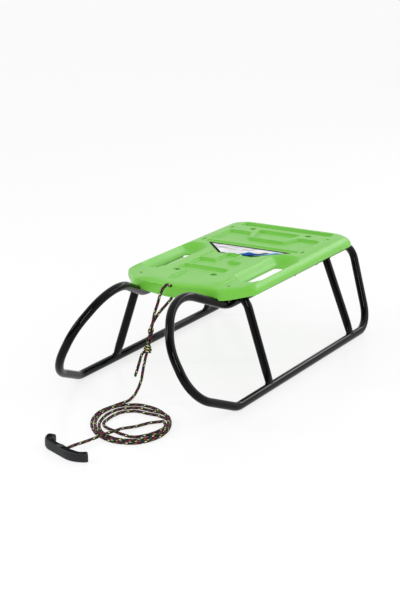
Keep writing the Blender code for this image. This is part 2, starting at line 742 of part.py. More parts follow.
def make_seat():
    kinds = ("pockets", "grown", "ribs", "saddles", "openings")
    groups = {kind: cutter_group("seat_" + kind) for kind in kinds}
    add_pockets(groups)
    add_ribs(groups)
    add_saddles(groups)
    add_openings(groups)
    add_screw_clearance(groups)
    seat = seat_mass("seat_shell", 0.0, APRON_Z, sled, lime_plastic)
    boolean(seat, "DIFFERENCE", group=groups["pockets"])
    boolean(seat, "DIFFERENCE", other=make_core(groups))
    boolean(seat, "DIFFERENCE", other=add_skirt_trim())
    boolean(seat, "UNION", group=groups["saddles"])
    boolean(seat, "DIFFERENCE", group=groups["openings"])
    boolean(seat, "DIFFERENCE", group=tube_clearance)


def make_label():
    floor = DECK_Z - RECESS_DEPTH + GAP
    outline = [(-LABEL_FRONT[0], LABEL_FRONT[1]), LABEL_FRONT, LABEL_REAR, (-LABEL_REAR[0], LABEL_REAR[1])]
    ring = rounded(outline, LABEL_ROUND, 3)
    loft("seat_label", [at_height(ring, floor), at_height(ring, floor + LABEL_THICKNESS)], sled, label_film)


# Screws, turned from a half profile
def screw_object(name, length, at, upwards):
    shank, head = SCREW_SHANK / 2, SCREW_HEAD / 2
    crown = SCREW_HEAD_HEIGHT
    profile = [(0, crown), (head * 0.55, crown * 0.86), (head, crown * 0.35), (head, 0), (shank, 0),
               (shank, -length + shank), (shank * 0.3, -length), (0, -length)]
    form = bmesh.new()
    corners = [form.verts.new((x, 0, z)) for x, z in profile]
    for a, b in zip(corners, corners[1:]):
        form.edges.new((a, b))
    mesh = bpy.data.meshes.new(name)
    form.to_mesh(mesh)
    form.free()
    item = place(name, mesh, sled, zinc_steel)
    turn = item.modifiers.new("turn", "SCREW")
    turn.axis = "Z"
    turn.steps = 16
    turn.render_steps = 16
    turn.use_merge_vertices = True
    turn.merge_threshold = 0.00002
    turn.use_smooth_shade = True
    item.location = at
    if upwards:
        item.rotation_euler = (pi, 0, 0)


def make_screws():
    for kind, place_at in screw_places():
        for name, side in SIDES:
            x, y, z = side * place_at.x, place_at.y, place_at.z
            if kind == "front_seat_screw":
                top = FRONT_SCREW_FACE_Z + GAP
                length = top - (z + TUBE_RADIUS - FRONT_SCREW_BOTTOM_DEPTH)
                screw_object(kind + "_" + name, length, (x, y, top), False)
            else:
                bottom = z - TUBE_RADIUS - GAP
                screw_object(kind + "_" + name, RAIL_SCREW_TOP_Z - bottom, (x, y, bottom), True)


# Rope
def smooth_route(route, spacing):
    knots = [Vector(p) for p in route]
    ends = [2 * knots[0] - knots[1]] + knots + [2 * knots[-1] - knots[-2]]
    fine = []
    for a, b, c, d in zip(ends, ends[1:], ends[2:], ends[3:]):
        for k in range(16):
            t = k / 16
            fine.append(0.5 * (2 * b + (c - a) * t + (2 * a - 5 * b + 4 * c - d) * t * t
                               + (3 * b - a - 3 * c + d) * t * t * t))
    fine.append(knots[-1])
    total = sum((q - p).length for p, q in zip(fine, fine[1:]))
    count = max(3, round(total / spacing))
    points, travelled, want = [fine[0]], 0.0, total / count
    for p, q in zip(fine, fine[1:]):
        step = (q - p).length
        while travelled + step >= want * len(points) - 1e-9 and len(points) < count:
            points.append(p.lerp(q, (want * len(points) - travelled) / step))
        travelled += step
    points.append(fine[-1])
    return points


def path_length(points):
    return sum((q - p).length for p, q in zip(points, points[1:]))


def along(a, b, distance):
    return a + (b - a).normalized() * distance


def rope_tube(name, points, diameter=ROPE):
    curve = tube_curve(name, points, diameter / 2, sled, braided_rope, sides=8)
    print("%s: length %.3f m" % (curve.name, path_length(points)))


# The bridle: up the front, in through the apron hole, and back out under the apron's edge
TWIST_TOP = Vector((-0.0150, -0.2500, 0.1475))
KNOT_AT = Vector((-0.0188, -0.2620, 0.0955))
BRIDLE_ROUTE = [(-0.0142, -0.2425, 0.1665), (-0.0108, -0.2362, 0.1850), (-0.0078, -0.2300, 0.2040),
                (-0.0050, -0.2225, 0.2170), (-0.0020, -0.2130, 0.2225), (0.0008, -0.2035, 0.2195),
                (0.0012, -0.1950, 0.2110), (0.0008, -0.1915, 0.2005), (-0.0012, -0.1955, 0.1905),
                (-0.0035, -0.2065, 0.1825), (-0.0062, -0.2205, 0.1745), (-0.0085, -0.2360, 0.1655)]
LEAD_ROUTE = [(-0.0203, -0.2685, 0.0780), (-0.0219, -0.2718, 0.0641), (-0.0232, -0.2750, 0.0499),
              (-0.0242, -0.2778, 0.0365), (-0.0262, -0.2830, 0.0225), (-0.0285, -0.2915, 0.0105),
              (-0.0290, -0.3010, 0.0045), (-0.0275, -0.3140, 0.0029), (-0.0258, -0.3290, 0.0029)]
TAIL_ROUTE = [(-0.0325, -0.2611, 0.0831), (-0.0355, -0.2625, 0.0745), (-0.0375, -0.2655, 0.0640),
              (-0.0397, -0.2685, 0.0520), (-0.0420, -0.2705, 0.0425), (-0.0440, -0.2712, 0.0345)]
RUN_ROUTE = [(0.1105, -0.4085, 0.0081), (0.1035, -0.4022, 0.0072), (0.0955, -0.3997, 0.0047),
             (0.0880, -0.4015, 0.0031), (0.0815, -0.4075, 0.0029), (0.0758, -0.4170, 0.0029),
             (0.0702, -0.4300, 0.0029), (0.0650, -0.4450, 0.0036), (0.0605, -0.4610, 0.0060),
             (0.0568, -0.4780, 0.0090), (0.0530, -0.4950, 0.0097), (0.0480, -0.5120, 0.0097),
             (0.0425, -0.5290, 0.0094), (0.0370, -0.5460, 0.0078), (0.0325, -0.5620, 0.0072),
             (0.0290, -0.5790, 0.0078), (0.0262, -0.5920, 0.0085)]


def smoothstep(value):
    value = min(1.0, max(0.0, value))
    return value * value * (3 - 2 * value)


# How far the coil has climbed onto itself at an angle: 0 to 1
def climb_share(angle):
    off = (angle - CLIMB_MIDDLE + pi) % (2 * pi) - pi
    return smoothstep(1.6 * (1 - abs(off) / CLIMB_WIDTH))


# Step from one turn to the next, which is shorter where every second turn has climbed
def turn_pitch(angle, wide):
    share = climb_share(angle)
    near = sqrt(CLIMB_REACH ** 2 - (CLIMB * share) ** 2)
    return wide + (near - wide) * share


# Centreline of the coil: an ellipse that draws in turn by turn, with one inward bight near its end
def coil_point(turns):
    angle = COIL_START + 2 * pi * turns
    across = angle - COIL_AXIS
    radius = COIL_LONG * COIL_SHORT / sqrt((COIL_SHORT * cos(across)) ** 2 + (COIL_LONG * sin(across)) ** 2)
    mean, front, left, long_way = COIL_PITCH
    from_axis = angle - COIL_PITCH_AXIS
    wide = mean + front * cos(from_axis) + left * sin(from_axis) + long_way * cos(2 * from_axis)
    radius -= turn_pitch(angle, COIL_FIRST_PITCH) * min(turns, 1.0)
    radius -= turn_pitch(angle, wide) * max(turns - 1.0, 0.0)
    last = angle - 2 * pi * 3
    rise = smoothstep((last - BIGHT_FROM) / (BIGHT_FULL - BIGHT_FROM))
    fall = smoothstep((last - BIGHT_LEAVES) / (BIGHT_TO - BIGHT_LEAVES))
    radius -= BIGHT * (rise - fall)
    on_top = round((angle - CLIMB_MIDDLE) / (2 * pi)) % 2 == 0
    height = ROPE / 2 + (CLIMB * climb_share(angle) if on_top else 0.0)
    return Vector((COIL_CENTRE.x + radius * cos(angle), COIL_CENTRE.y + radius * sin(angle), height))


def coil_path():
    count = round(COIL_TURNS * COIL_POINTS)
    path = [coil_point(COIL_TURNS * k / count) for k in range(count + 1)]
    first = along(path[0], path[0] - (path[1] - path[0]), ROPE)
    leaves = Matrix.Rotation(COIL_END_TURN, 3, "Z") @ (path[-1] - path[-2])
    last = along(path[-1], path[-1] + leaves, ROPE)
    return [first] + path + [last]


# Least distance between stretches of the rope that aren't neighbours along it
def least_gap(points):
    fine = []
    for a, b in zip(points, points[1:]):
        fine += [a.lerp(b, k / 4) for k in range(4)]
    skip = round(6 * ROPE / (path_length(points) / len(fine)))
    least = 1.0
    for i, a in enumerate(fine):
        for b in fine[i + skip:]:
            least = min(least, (a - b).length)
    return least - ROPE


def make_coil():
    path = coil_path()
    tube_curve("rope_coil", path, ROPE / 2, sled, braided_rope, sides=6)
    print("rope_coil: length %.3f m" % path_length(path))
    print("rope_coil: least gap to itself %.2f mm" % (least_gap(path) * 1000))
    return path


# A stretch between two faces: it runs straight out of each for one rope diameter
def stretch(start, leaves, route, end=None, arrives=None, spacing=2.4):
    inner = [start + leaves * ROPE] + [Vector(p) for p in route]
    if end is None:
        return [start] + smooth_route(inner, spacing * ROPE)
    inner.append(end - arrives * ROPE)
    return [start] + smooth_route(inner, spacing * ROPE) + [end]


def make_rope():
    coil = make_coil()
    down = (KNOT_AT - TWIST_TOP).normalized()
    reach = KNOT / 2 + GAP
    lead_way = (Vector(LEAD_ROUTE[0]) - KNOT_AT).normalized()
    tail_way = (Vector(TAIL_ROUTE[0]) - KNOT_AT).normalized()
    into_coil = (coil[1] - coil[0]).normalized()
    out_of_coil = (coil[-1] - coil[-2]).normalized()
    across = down.cross(Vector((0, 1, 0))).normalized() * (ROPE / 2 + GAP)
    bridle_ends = [TWIST_TOP - down * GAP + across * side for side in (1, -1)]
    rope_tube("rope_bridle", stretch(bridle_ends[0], -down, BRIDLE_ROUTE, bridle_ends[1], down, 1.8))
    rope_tube("rope_twist", [TWIST_TOP, KNOT_AT - down * reach], TWIST)
    rope_tube("rope_lead", stretch(KNOT_AT + lead_way * reach, lead_way, LEAD_ROUTE,
                                   coil[0] - into_coil * GAP, into_coil))
    rope_tube("rope_tail", stretch(KNOT_AT + tail_way * reach, tail_way, TAIL_ROUTE))
    centre, towards_rope = grip_frame(0.0)
    into_grip = Vector((*-towards_rope, 0.0))
    stop = Vector((*centre, STOPPER_Z)) - into_grip * (STOPPER / 2 + GAP)
    mouth = stop + into_grip * (STOPPER / 2 + GAP - GRIP_WIDTH / 2 - GRIP_MOUTH)
    run = stretch(coil[-1] + out_of_coil * GAP, out_of_coil, RUN_ROUTE, mouth, into_grip)
    rope_tube("rope_handle_run", run + [stop])
    ball("rope_knot", KNOT_AT, (KNOT, KNOT, KNOT), braided_rope)


def ball(name, centre, size, material):
    form = bmesh.new()
    where = Matrix.Translation(centre) @ Matrix.Diagonal((*size, 1.0))
    bmesh.ops.create_uvsphere(form, u_segments=14, v_segments=8, radius=0.5, matrix=where)
    mesh_object(name, form, sled, material)


# Grip: a bar along a straight middle and two arcs that turn towards the rope
def grip_frame(distance):
    half = GRIP_STRAIGHT / 2
    side = 1 if distance > 0 else -1
    beyond = max(0.0, abs(distance) - half)
    angle = beyond / GRIP_END_BEND
    across = min(abs(distance), half) + GRIP_END_BEND * sin(angle)
    back = GRIP_END_BEND * (1 - cos(angle))
    turn = Matrix.Rotation(GRIP_TURN, 2)
    centre = GRIP_MIDDLE + turn @ Vector((side * across, back))
    towards_rope = turn @ Vector((-side * sin(angle), cos(angle)))
    return centre, towards_rope


def grip_half_length():
    return GRIP_STRAIGHT / 2 + GRIP_END_BEND * GRIP_END_ANGLE


# Corner-rounded section, narrower where a finger groove runs across its inner side
def grip_section(distance):
    centre, towards_rope = grip_frame(distance)
    half = grip_half_length()
    end = smoothstep((abs(distance) - half) / GRIP_END_ROUND + 1)
    groove = GRIP_GROOVE * (0.5 - 0.5 * cos(pi * (distance + half) / half * GRIP_GROOVES))
    wide = GRIP_WIDTH / 2 - GRIP_END_DRAW * end
    tall = GRIP_HEIGHT / 2 - GRIP_END_DRAW * end
    ring = []
    for k in range(GRIP_SECTION_POINTS):
        angle = 2 * pi * (k + 0.5) / GRIP_SECTION_POINTS
        c, s = cos(angle), sin(angle)
        x = wide * (abs(c) ** GRIP_SQUARENESS) * (1 if c > 0 else -1)
        z = tall * (abs(s) ** GRIP_SQUARENESS) * (1 if s > 0 else -1)
        if x > 0:
            x -= groove * smoothstep(x / wide)
        ring.append(Vector((*(centre + towards_rope * x), GRIP_HEIGHT / 2 + z)))
    return ring


# Cells moulded into the grip, open above and towards the rope, with ribs between them
def cut_grip_cells(grip, half):
    group = cutter_group("grip_cells")
    length = (half - GRIP_END_WALL - GRIP_CELL_FROM + GRIP_RIB) / GRIP_CELLS - GRIP_RIB
    for name, side in SIDES:
        for k in range(GRIP_CELLS):
            start = GRIP_CELL_FROM + k * (length + GRIP_RIB)
            rings = []
            for step in range(GRIP_CELL_STEPS + 1):
                centre, towards_rope = grip_frame(side * (start + length * step / GRIP_CELL_STEPS))
                near = centre + towards_rope * (GRIP_WALL - GRIP_WIDTH / 2)
                far = centre + towards_rope * GRIP_WIDTH
                corners = ((near, GRIP_WALL), (far, GRIP_WALL), (far, 2 * GRIP_HEIGHT), (near, 2 * GRIP_HEIGHT))
                rings.append([Vector((*at, z)) for at, z in corners])
            loft(name + "_grip_cell", rings, group)
    boolean(grip, "DIFFERENCE", group=group)


def make_grip():
    half = grip_half_length()
    places = [-half + 2 * half * k / GRIP_SECTIONS for k in range(GRIP_SECTIONS + 1)]
    rings = [grip_section(distance) for distance in places]
    grip = loft("pull_handle", rings, sled, black_grip)
    centre, towards_rope = grip_frame(0.0)
    bore_end = centre + towards_rope * GRIP_WIDTH
    middle = Vector((*centre, STOPPER_Z))
    bore = cylinder("grip_bore", GRIP_BORE, middle, (*bore_end, STOPPER_Z), cutters, 16)
    low, high = (*centre, -STOPPER_ROOM), (*centre, STOPPER_Z + STOPPER_ROOM)
    well = cylinder("grip_pocket", STOPPER_POCKET, low, high, cutters, 20)
    boolean(grip, "DIFFERENCE", other=bore)
    boolean(grip, "DIFFERENCE", other=well)
    cut_grip_cells(grip, half)
    ball("rope_stopper", middle, (STOPPER, STOPPER, STOPPER_HEIGHT), braided_rope)


make_side_loops()
make_front_cross_tube()
make_rear_legs()
make_rear_cross_bar()
make_seat()
make_label()
make_screws()
make_rope()
make_grip()
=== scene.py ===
import bpy
import bmesh
import json
from math import cos, sin, tan, pi, radians, sqrt, floor
from mathutils import Matrix, Vector
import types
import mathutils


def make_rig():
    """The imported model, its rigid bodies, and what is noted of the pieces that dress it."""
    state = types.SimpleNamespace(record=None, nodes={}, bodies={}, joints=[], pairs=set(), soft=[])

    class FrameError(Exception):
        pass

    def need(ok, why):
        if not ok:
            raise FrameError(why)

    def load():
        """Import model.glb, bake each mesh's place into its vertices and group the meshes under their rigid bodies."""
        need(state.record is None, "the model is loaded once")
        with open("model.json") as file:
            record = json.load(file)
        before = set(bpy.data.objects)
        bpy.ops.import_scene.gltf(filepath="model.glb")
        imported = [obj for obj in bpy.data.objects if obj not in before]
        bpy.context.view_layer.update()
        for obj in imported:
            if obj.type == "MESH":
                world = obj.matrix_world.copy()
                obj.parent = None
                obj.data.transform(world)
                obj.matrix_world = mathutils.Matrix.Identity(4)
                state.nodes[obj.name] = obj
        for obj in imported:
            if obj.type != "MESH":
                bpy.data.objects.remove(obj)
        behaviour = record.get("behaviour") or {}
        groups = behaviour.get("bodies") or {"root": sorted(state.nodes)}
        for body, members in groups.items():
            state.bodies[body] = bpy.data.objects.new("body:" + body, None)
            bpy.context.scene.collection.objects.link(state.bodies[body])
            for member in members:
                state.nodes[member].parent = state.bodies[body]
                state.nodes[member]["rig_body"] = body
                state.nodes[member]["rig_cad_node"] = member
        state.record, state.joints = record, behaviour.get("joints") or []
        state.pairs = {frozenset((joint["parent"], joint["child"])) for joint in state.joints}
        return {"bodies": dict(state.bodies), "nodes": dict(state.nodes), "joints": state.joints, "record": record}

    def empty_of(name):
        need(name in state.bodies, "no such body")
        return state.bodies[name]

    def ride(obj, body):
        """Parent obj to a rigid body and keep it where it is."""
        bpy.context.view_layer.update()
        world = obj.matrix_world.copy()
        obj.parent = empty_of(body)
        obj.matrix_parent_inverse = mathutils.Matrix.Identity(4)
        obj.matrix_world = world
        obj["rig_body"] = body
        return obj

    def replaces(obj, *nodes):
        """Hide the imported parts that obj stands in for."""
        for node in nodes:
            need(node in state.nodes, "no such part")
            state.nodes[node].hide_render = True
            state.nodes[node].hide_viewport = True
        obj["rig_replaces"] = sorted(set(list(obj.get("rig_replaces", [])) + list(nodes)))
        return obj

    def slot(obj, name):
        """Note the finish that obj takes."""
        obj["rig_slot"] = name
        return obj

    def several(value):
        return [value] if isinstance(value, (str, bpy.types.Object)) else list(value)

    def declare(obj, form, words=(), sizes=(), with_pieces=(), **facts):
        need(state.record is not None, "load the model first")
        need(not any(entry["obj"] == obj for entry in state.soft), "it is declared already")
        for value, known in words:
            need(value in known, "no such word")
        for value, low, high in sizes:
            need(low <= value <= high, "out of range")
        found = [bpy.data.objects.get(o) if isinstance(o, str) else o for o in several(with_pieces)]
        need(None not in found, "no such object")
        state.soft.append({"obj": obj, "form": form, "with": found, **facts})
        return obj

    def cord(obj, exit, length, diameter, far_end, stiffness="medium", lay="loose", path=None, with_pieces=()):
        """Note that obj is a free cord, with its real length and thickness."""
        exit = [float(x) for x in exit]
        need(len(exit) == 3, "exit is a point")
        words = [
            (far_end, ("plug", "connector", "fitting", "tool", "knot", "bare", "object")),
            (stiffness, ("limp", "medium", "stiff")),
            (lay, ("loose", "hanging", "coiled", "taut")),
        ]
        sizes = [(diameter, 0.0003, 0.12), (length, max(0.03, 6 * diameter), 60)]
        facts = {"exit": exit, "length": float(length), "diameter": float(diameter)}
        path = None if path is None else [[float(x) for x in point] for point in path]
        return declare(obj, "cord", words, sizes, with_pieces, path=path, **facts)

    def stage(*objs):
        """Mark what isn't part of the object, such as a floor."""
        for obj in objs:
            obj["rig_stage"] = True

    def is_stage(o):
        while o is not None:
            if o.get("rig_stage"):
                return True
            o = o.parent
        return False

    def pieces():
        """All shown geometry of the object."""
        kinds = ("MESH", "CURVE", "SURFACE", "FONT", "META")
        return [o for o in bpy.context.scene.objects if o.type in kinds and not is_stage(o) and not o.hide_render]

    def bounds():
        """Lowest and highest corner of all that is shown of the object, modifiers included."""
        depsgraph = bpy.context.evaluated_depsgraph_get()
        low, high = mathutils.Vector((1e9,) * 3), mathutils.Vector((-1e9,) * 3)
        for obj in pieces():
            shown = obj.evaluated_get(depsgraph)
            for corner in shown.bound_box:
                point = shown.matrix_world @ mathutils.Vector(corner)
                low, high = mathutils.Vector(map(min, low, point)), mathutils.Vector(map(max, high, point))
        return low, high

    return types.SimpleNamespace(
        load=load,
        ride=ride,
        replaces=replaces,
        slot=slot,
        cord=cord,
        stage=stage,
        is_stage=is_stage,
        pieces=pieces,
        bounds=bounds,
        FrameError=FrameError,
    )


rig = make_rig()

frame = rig.load()
cadBox = [list(corner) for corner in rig.bounds()]
scene = bpy.context.scene
scene.view_settings.view_transform = "Standard"
sides = (("left", -1), ("right", 1))


# ---- camera

view = {"azimuth": 30.15, "elevation": 16.53, "distance": 3.435, "lens": 97.29, "aim": (-0.0012, -0.07975, 0.1563)}


def addCamera():
    a, e = radians(view["azimuth"]), radians(view["elevation"])
    back = Vector((sin(a) * cos(e), -cos(a) * cos(e), sin(e)))
    camera = bpy.data.objects.new("camera", bpy.data.cameras.new("camera"))
    camera.data.lens = view["lens"]
    camera.data.clip_end = 50
    camera.location = Vector(view["aim"]) + back * view["distance"]
    camera.rotation_euler = back.to_track_quat("Z", "Y").to_euler()
    scene.collection.objects.link(camera)
    scene.camera = camera


addCamera()


# ---- shader helpers

class Wire:
    # a socket that takes part in sums

    def __init__(self, paint, socket):
        self.paint, self.socket = paint, socket

    def maths(self, operation, *others):
        return self.paint.node("ShaderNodeMath", {"operation": operation}, [self, *others])

    def __rsub__(self, other):
        return self.paint.node("ShaderNodeMath", {"operation": "SUBTRACT"}, [other, self])

    def between(self, low, high):
        return (self > low) * (self < high)

    def rise(self, low, high):
        return self.paint.node("ShaderNodeMapRange", {"interpolation_type": "SMOOTHSTEP"}, [self, low, high])


# each sum is one maths node
for sign, operation in {"__add__": "ADD", "__sub__": "SUBTRACT", "__mul__": "MULTIPLY", "__mod__": "FLOORED_MODULO",
                        "__lt__": "LESS_THAN", "__gt__": "GREATER_THAN", "floor": "FLOOR", "abs": "ABSOLUTE",
                        "sine": "SINE"}.items():
    setattr(Wire, sign, lambda wire, *others, operation=operation: wire.maths(operation, *others))


class Paint:
    # the nodes of a material or of the world

    def __init__(self, owner, shader="Principled BSDF"):
        owner.use_nodes = True
        self.owner, self.tree = owner, owner.node_tree
        self.shader = self.tree.nodes[shader]

    def node(self, kind, settings=None, inputs=(), out=0):
        item = self.tree.nodes.new(kind)
        for key, value in (settings or {}).items():
            setattr(item, key, value)
        for key, value in inputs.items() if isinstance(inputs, dict) else enumerate(inputs):
            self.feed(item.inputs[key], value)
        return Wire(self, item.outputs[out])

    def feed(self, socket, value):
        if isinstance(value, Wire):
            self.tree.links.new(value.socket, socket)
        elif hasattr(value, "__len__") and socket.type == "RGBA":
            socket.default_value = (*value, 1)
        else:
            socket.default_value = value

    def axes(self, vector):
        outputs = self.node("ShaderNodeSeparateXYZ", None, [vector]).socket.node.outputs
        return [Wire(self, output) for output in outputs]

    def noise(self, vector, scale, detail):
        return self.node("ShaderNodeTexNoise", None, {"Vector": vector, "Scale": scale, "Detail": detail})

    def blend(self, share, first, second):
        return self.node("ShaderNodeMix", {"data_type": "RGBA"}, {"Factor": share, 6: first, 7: second}, 2)

    def bump(self, height, strength, distance):
        return self.node("ShaderNodeBump", None, {"Height": height, "Strength": strength, "Distance": distance})

    def set(self, **inputs):
        for key, value in inputs.items():
            self.feed(self.shader.inputs[key.replace("_", " ")], value)
        return self.owner


def newPaint(name):
    paint = Paint(bpy.data.materials.new(name))
    return paint, paint.node("ShaderNodeTexCoord", out="Object")


# ---- finishes

def glossBlackPaint():
    paint, place = newPaint("glossBlackPaint")
    height = paint.axes(place)[2]
    drift = paint.noise(place, 22, 3)
    scuffs = paint.noise(place, 260, 5)
    # the runners' undersides rub on the ground
    worn = (0.0042 - height).rise(0.0, 0.003) * scuffs.rise(0.50, 0.62)
    colour = paint.blend(worn, (0.0026, 0.0026, 0.0032), (0.060, 0.058, 0.056))
    peel = paint.bump(paint.noise(place, 520, 1), 0.05, 0.0004)
    return paint.set(Base_Color=colour, Roughness=drift * 0.05 + 0.03 + worn * 0.25, Normal=peel, IOR=1.22)


def limePlastic():
    paint, place = newPaint("limePlastic")
    drift = paint.noise(place, 9, 2)
    flow = paint.noise(place, 60, 4)
    colour = paint.blend(drift.rise(0.35, 0.65), (0.150, 0.515, 0.040), (0.165, 0.535, 0.050))
    grain = paint.bump(paint.noise(place, 1500, 2), 0.10, 0.00025)
    return paint.set(Base_Color=colour, Roughness=flow * 0.10 + 0.30, Normal=grain, IOR=1.49)


def blackGripPlastic():
    paint, place = newPaint("blackGripPlastic")
    grain = paint.noise(place, 1700, 3)
    colour = paint.blend(paint.noise(place, 70, 3), (0.010, 0.011, 0.013), (0.017, 0.018, 0.020))
    relief = paint.bump(grain, 0.30, 0.0003)
    return paint.set(Base_Color=colour, Roughness=grain * 0.16 + 0.46, Normal=relief, IOR=1.36)


def zincSteel():
    paint, place = newPaint("zincSteel")
    stain = paint.noise(place, 900, 4)
    colour = paint.blend(stain, (0.10, 0.07, 0.04), (0.26, 0.20, 0.13))
    return paint.set(Base_Color=colour, Metallic=1.0, Roughness=stain * 0.25 + 0.28)


braid = {"strands": 6, "pitch": 0.036, "relief": 0.00030}


def ropeBraid():
    paint, place = newPaint("ropeBraid")
    spot = paint.axes(paint.node("ShaderNodeUVMap", {"uv_map": "braid"}))
    around, along = spot[0] * braid["strands"], spot[1] * (braid["strands"] / braid["pitch"])
    oneWay, otherWay = around + along, around - along
    first, second = oneWay.floor(), otherWay.floor()
    onTop = (first + second) % 2
    black, red, yellow = (0.004, 0.004, 0.007), (0.34, 0.018, 0.024), (0.72, 0.56, 0.24)
    green, navy = (0.012, 0.130, 0.045), (0.010, 0.024, 0.085)
    count = braid["strands"]

    def strandColour(index, picks):
        colour = black
        for number, tone in picks:
            colour = paint.blend((index % count).between(number - 0.5, number + 0.5), colour, tone)
        return colour

    upper = strandColour(first, ((0, red), (3, yellow)))
    lower = strandColour(second, ((1, green), (4, navy)))
    colour = paint.blend(onTop, upper, lower)
    lines = (oneWay * (2 * pi * 4)).sine() * onTop + (otherWay * (2 * pi * 4)).sine() * (1 - onTop)
    fuzz = paint.noise(place, 2600, 2)
    colour = paint.blend(fuzz.rise(0.5, 0.8) * 0.10, colour, (0.10, 0.10, 0.11))
    relief = paint.bump(lines * 0.5 + fuzz, 0.35, 0.00015)
    return paint.set(Base_Color=colour, Roughness=fuzz * 0.2 + 0.55, Normal=relief, Specular_IOR_Level=0.25)


label = {"floor": 0.2220, "front": (0.0410, 0.0690), "rear": (0.1060, 0.1390), "thick": 0.0004, "round": 0.003,
         "edge": 0.00012}
labelSlope = (label["rear"][0] - label["front"][0]) / (label["rear"][1] - label["front"][1])


def labelFilm():
    paint, place = newPaint("labelFilm")
    x, y, z = paint.axes(place)
    rim = (label["rear"][0] - (label["rear"][1] - y) * labelSlope) - x.abs()
    frameBand = 1 - (rim > 0.0075 - (x > 0.0) * 0.0010) * (y > (x > 0.004) * 0.0015 + 0.0710) * (y < 0.1310)
    cloud = paint.noise(place, 55, 2)
    pale = paint.blend(cloud.rise(0.35, 0.65), (0.72, 0.72, 0.74), (0.86, 0.86, 0.88))
    streaks = paint.noise(paint.node("ShaderNodeMapping", None, {"Vector": place, "Scale": (28, 170, 28)}), 1, 3)
    field = paint.blend(streaks.rise(0.50, 0.60) * (y > 0.104), pale, (0.46, 0.46, 0.48))
    shift = (cloud - 0.5) * 0.02
    slant = x - (y - 0.085) * 0.6
    deep = (slant - 0.010 + shift).rise(-0.003, 0.003) * (0.1010 - y + shift).rise(0.0, 0.005)
    field = paint.blend(deep, field, (0.010, 0.085, 0.36))
    spot = (slant - 0.036 + shift > 0.0) * (y < 0.113)
    field = paint.blend(spot, field, (0.006, 0.006, 0.010))
    light = (slant - 0.046 + shift).rise(-0.003, 0.003) * (0.1275 - y + shift).rise(0.0, 0.004)
    field = paint.blend(light, field, (0.17, 0.45, 0.76))
    colour = paint.blend(frameBand, field, (0.003, 0.003, 0.004))
    return paint.set(Base_Color=colour, Roughness=cloud * 0.04 + 0.32, IOR=1.08)


paints = {"black_paint": glossBlackPaint(), "lime_plastic": limePlastic(), "black_grip": blackGripPlastic(),
          "zinc_steel": zincSteel(), "braided_rope": ropeBraid(), "label_film": labelFilm()}
print("finishes made")


# ---- mesh helpers

def addObject(name, mesh, slot=None):
    item = bpy.data.objects.new(name, mesh)
    scene.collection.objects.link(item)
    if slot:
        mesh.materials.clear()
        mesh.materials.append(paints[slot])
        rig.slot(item, slot)
    return item


def fromForm(name, form, slot=None, angle=40):
    bmesh.ops.recalc_face_normals(form, faces=form.faces)
    mesh = bpy.data.meshes.new(name)
    form.to_mesh(mesh)
    form.free()
    mesh.shade_smooth()
    mesh.set_sharp_from_angle(angle=radians(angle))
    return addObject(name, mesh, slot)


# the object with its modifiers baked into its mesh
def settled(item):
    bpy.context.view_layer.update()
    evaluated = item.evaluated_get(bpy.context.evaluated_depsgraph_get())
    mesh = bpy.data.meshes.new_from_object(evaluated)
    mesh.name = item.name
    item.modifiers.clear()
    item.data = mesh


# cutters are gathered in a collection for a Boolean, and go once it is settled
def gather(name, items):
    group = bpy.data.collections.new(name)
    for item in items:
        group.objects.link(item)
        scene.collection.objects.unlink(item)
    scene.collection.children.link(group)
    return group


def combine(item, operation, group):
    step = item.modifiers.new(operation.lower(), "BOOLEAN")
    step.operation, step.solver, step.operand_type, step.collection = operation, "EXACT", "COLLECTION", group


def discard(*groups):
    for group in groups:
        for item in list(group.objects):
            bpy.data.objects.remove(item, do_unlink=True)
        bpy.data.collections.remove(group)


def smoothstep(value):
    value = min(1.0, max(0.0, value))
    return value * value * (3 - 2 * value)


# even steps from low to high, both ends in
def ramp(low, high, count):
    return [low + (high - low) * k / count for k in range(count + 1)]


def directions(path, closed):
    count = len(path)
    found = []
    for i in range(count):
        before = path[i - 1] if closed or i else path[0]
        after = path[(i + 1) % count] if closed or i < count - 1 else path[-1]
        found.append((after - before).normalized())
    return found


# rings of a tube along a path: a fixed side direction, or one that is carried along the path
def tubeFrames(path, closed, side):
    ways = directions(path, closed)
    frames, carried = [], side or ways[0].orthogonal().normalized()
    for way in ways:
        base = side or carried
        carried = (base - way * base.dot(way)).normalized()
        frames.append((carried, way.cross(carried)))
    return frames


def sweep(name, path, radius, slot, count=28, closed=False, side=None, shape=None, angle=40):
    frames = tubeFrames(path, closed, side)
    form = bmesh.new()
    layer = form.loops.layers.uv.new("braid")
    travelled, lengths = 0.0, []
    for i, point in enumerate(path):
        travelled += (point - path[i - 1]).length if i else 0
        lengths.append(travelled)
    rows = []
    for i, (point, (across, up)) in enumerate(zip(path, frames)):
        row = []
        for k in range(count):
            turn = 2 * pi * k / count
            reach = shape(k / count, lengths[i], i) if shape else radius
            row.append(form.verts.new(point + across * cos(turn) * reach + up * sin(turn) * reach))
        rows.append(row)
    pairs = list(zip(rows, rows[1:], lengths, lengths[1:]))
    if closed:
        pairs.append((rows[-1], rows[0], lengths[-1], lengths[-1] + (path[0] - path[-1]).length))
    for low, high, start, end in pairs:
        for k in range(count):
            n = (k + 1) % count
            face = form.faces.new((low[k], low[n], high[n], high[k]))
            spots = ((k, start), (k + 1, start), (k + 1, end), (k, end))
            for corner, (step, length) in zip(face.loops, spots):
                corner[layer].uv = (step / count, length)
    if not closed:
        form.faces.new(list(reversed(rows[0])))
        form.faces.new(rows[-1])
    return fromForm(name, form, slot, angle)


def loft(name, rings, slot=None, angle=40):
    form = bmesh.new()
    rows = [[form.verts.new(point) for point in ring] for ring in rings]
    for low, high in zip(rows, rows[1:]):
        for i in range(len(low)):
            j = (i + 1) % len(low)
            form.faces.new((low[i], low[j], high[j], high[i]))
    form.faces.new(list(reversed(rows[0])))
    form.faces.new(rows[-1])
    return fromForm(name, form, slot, angle)


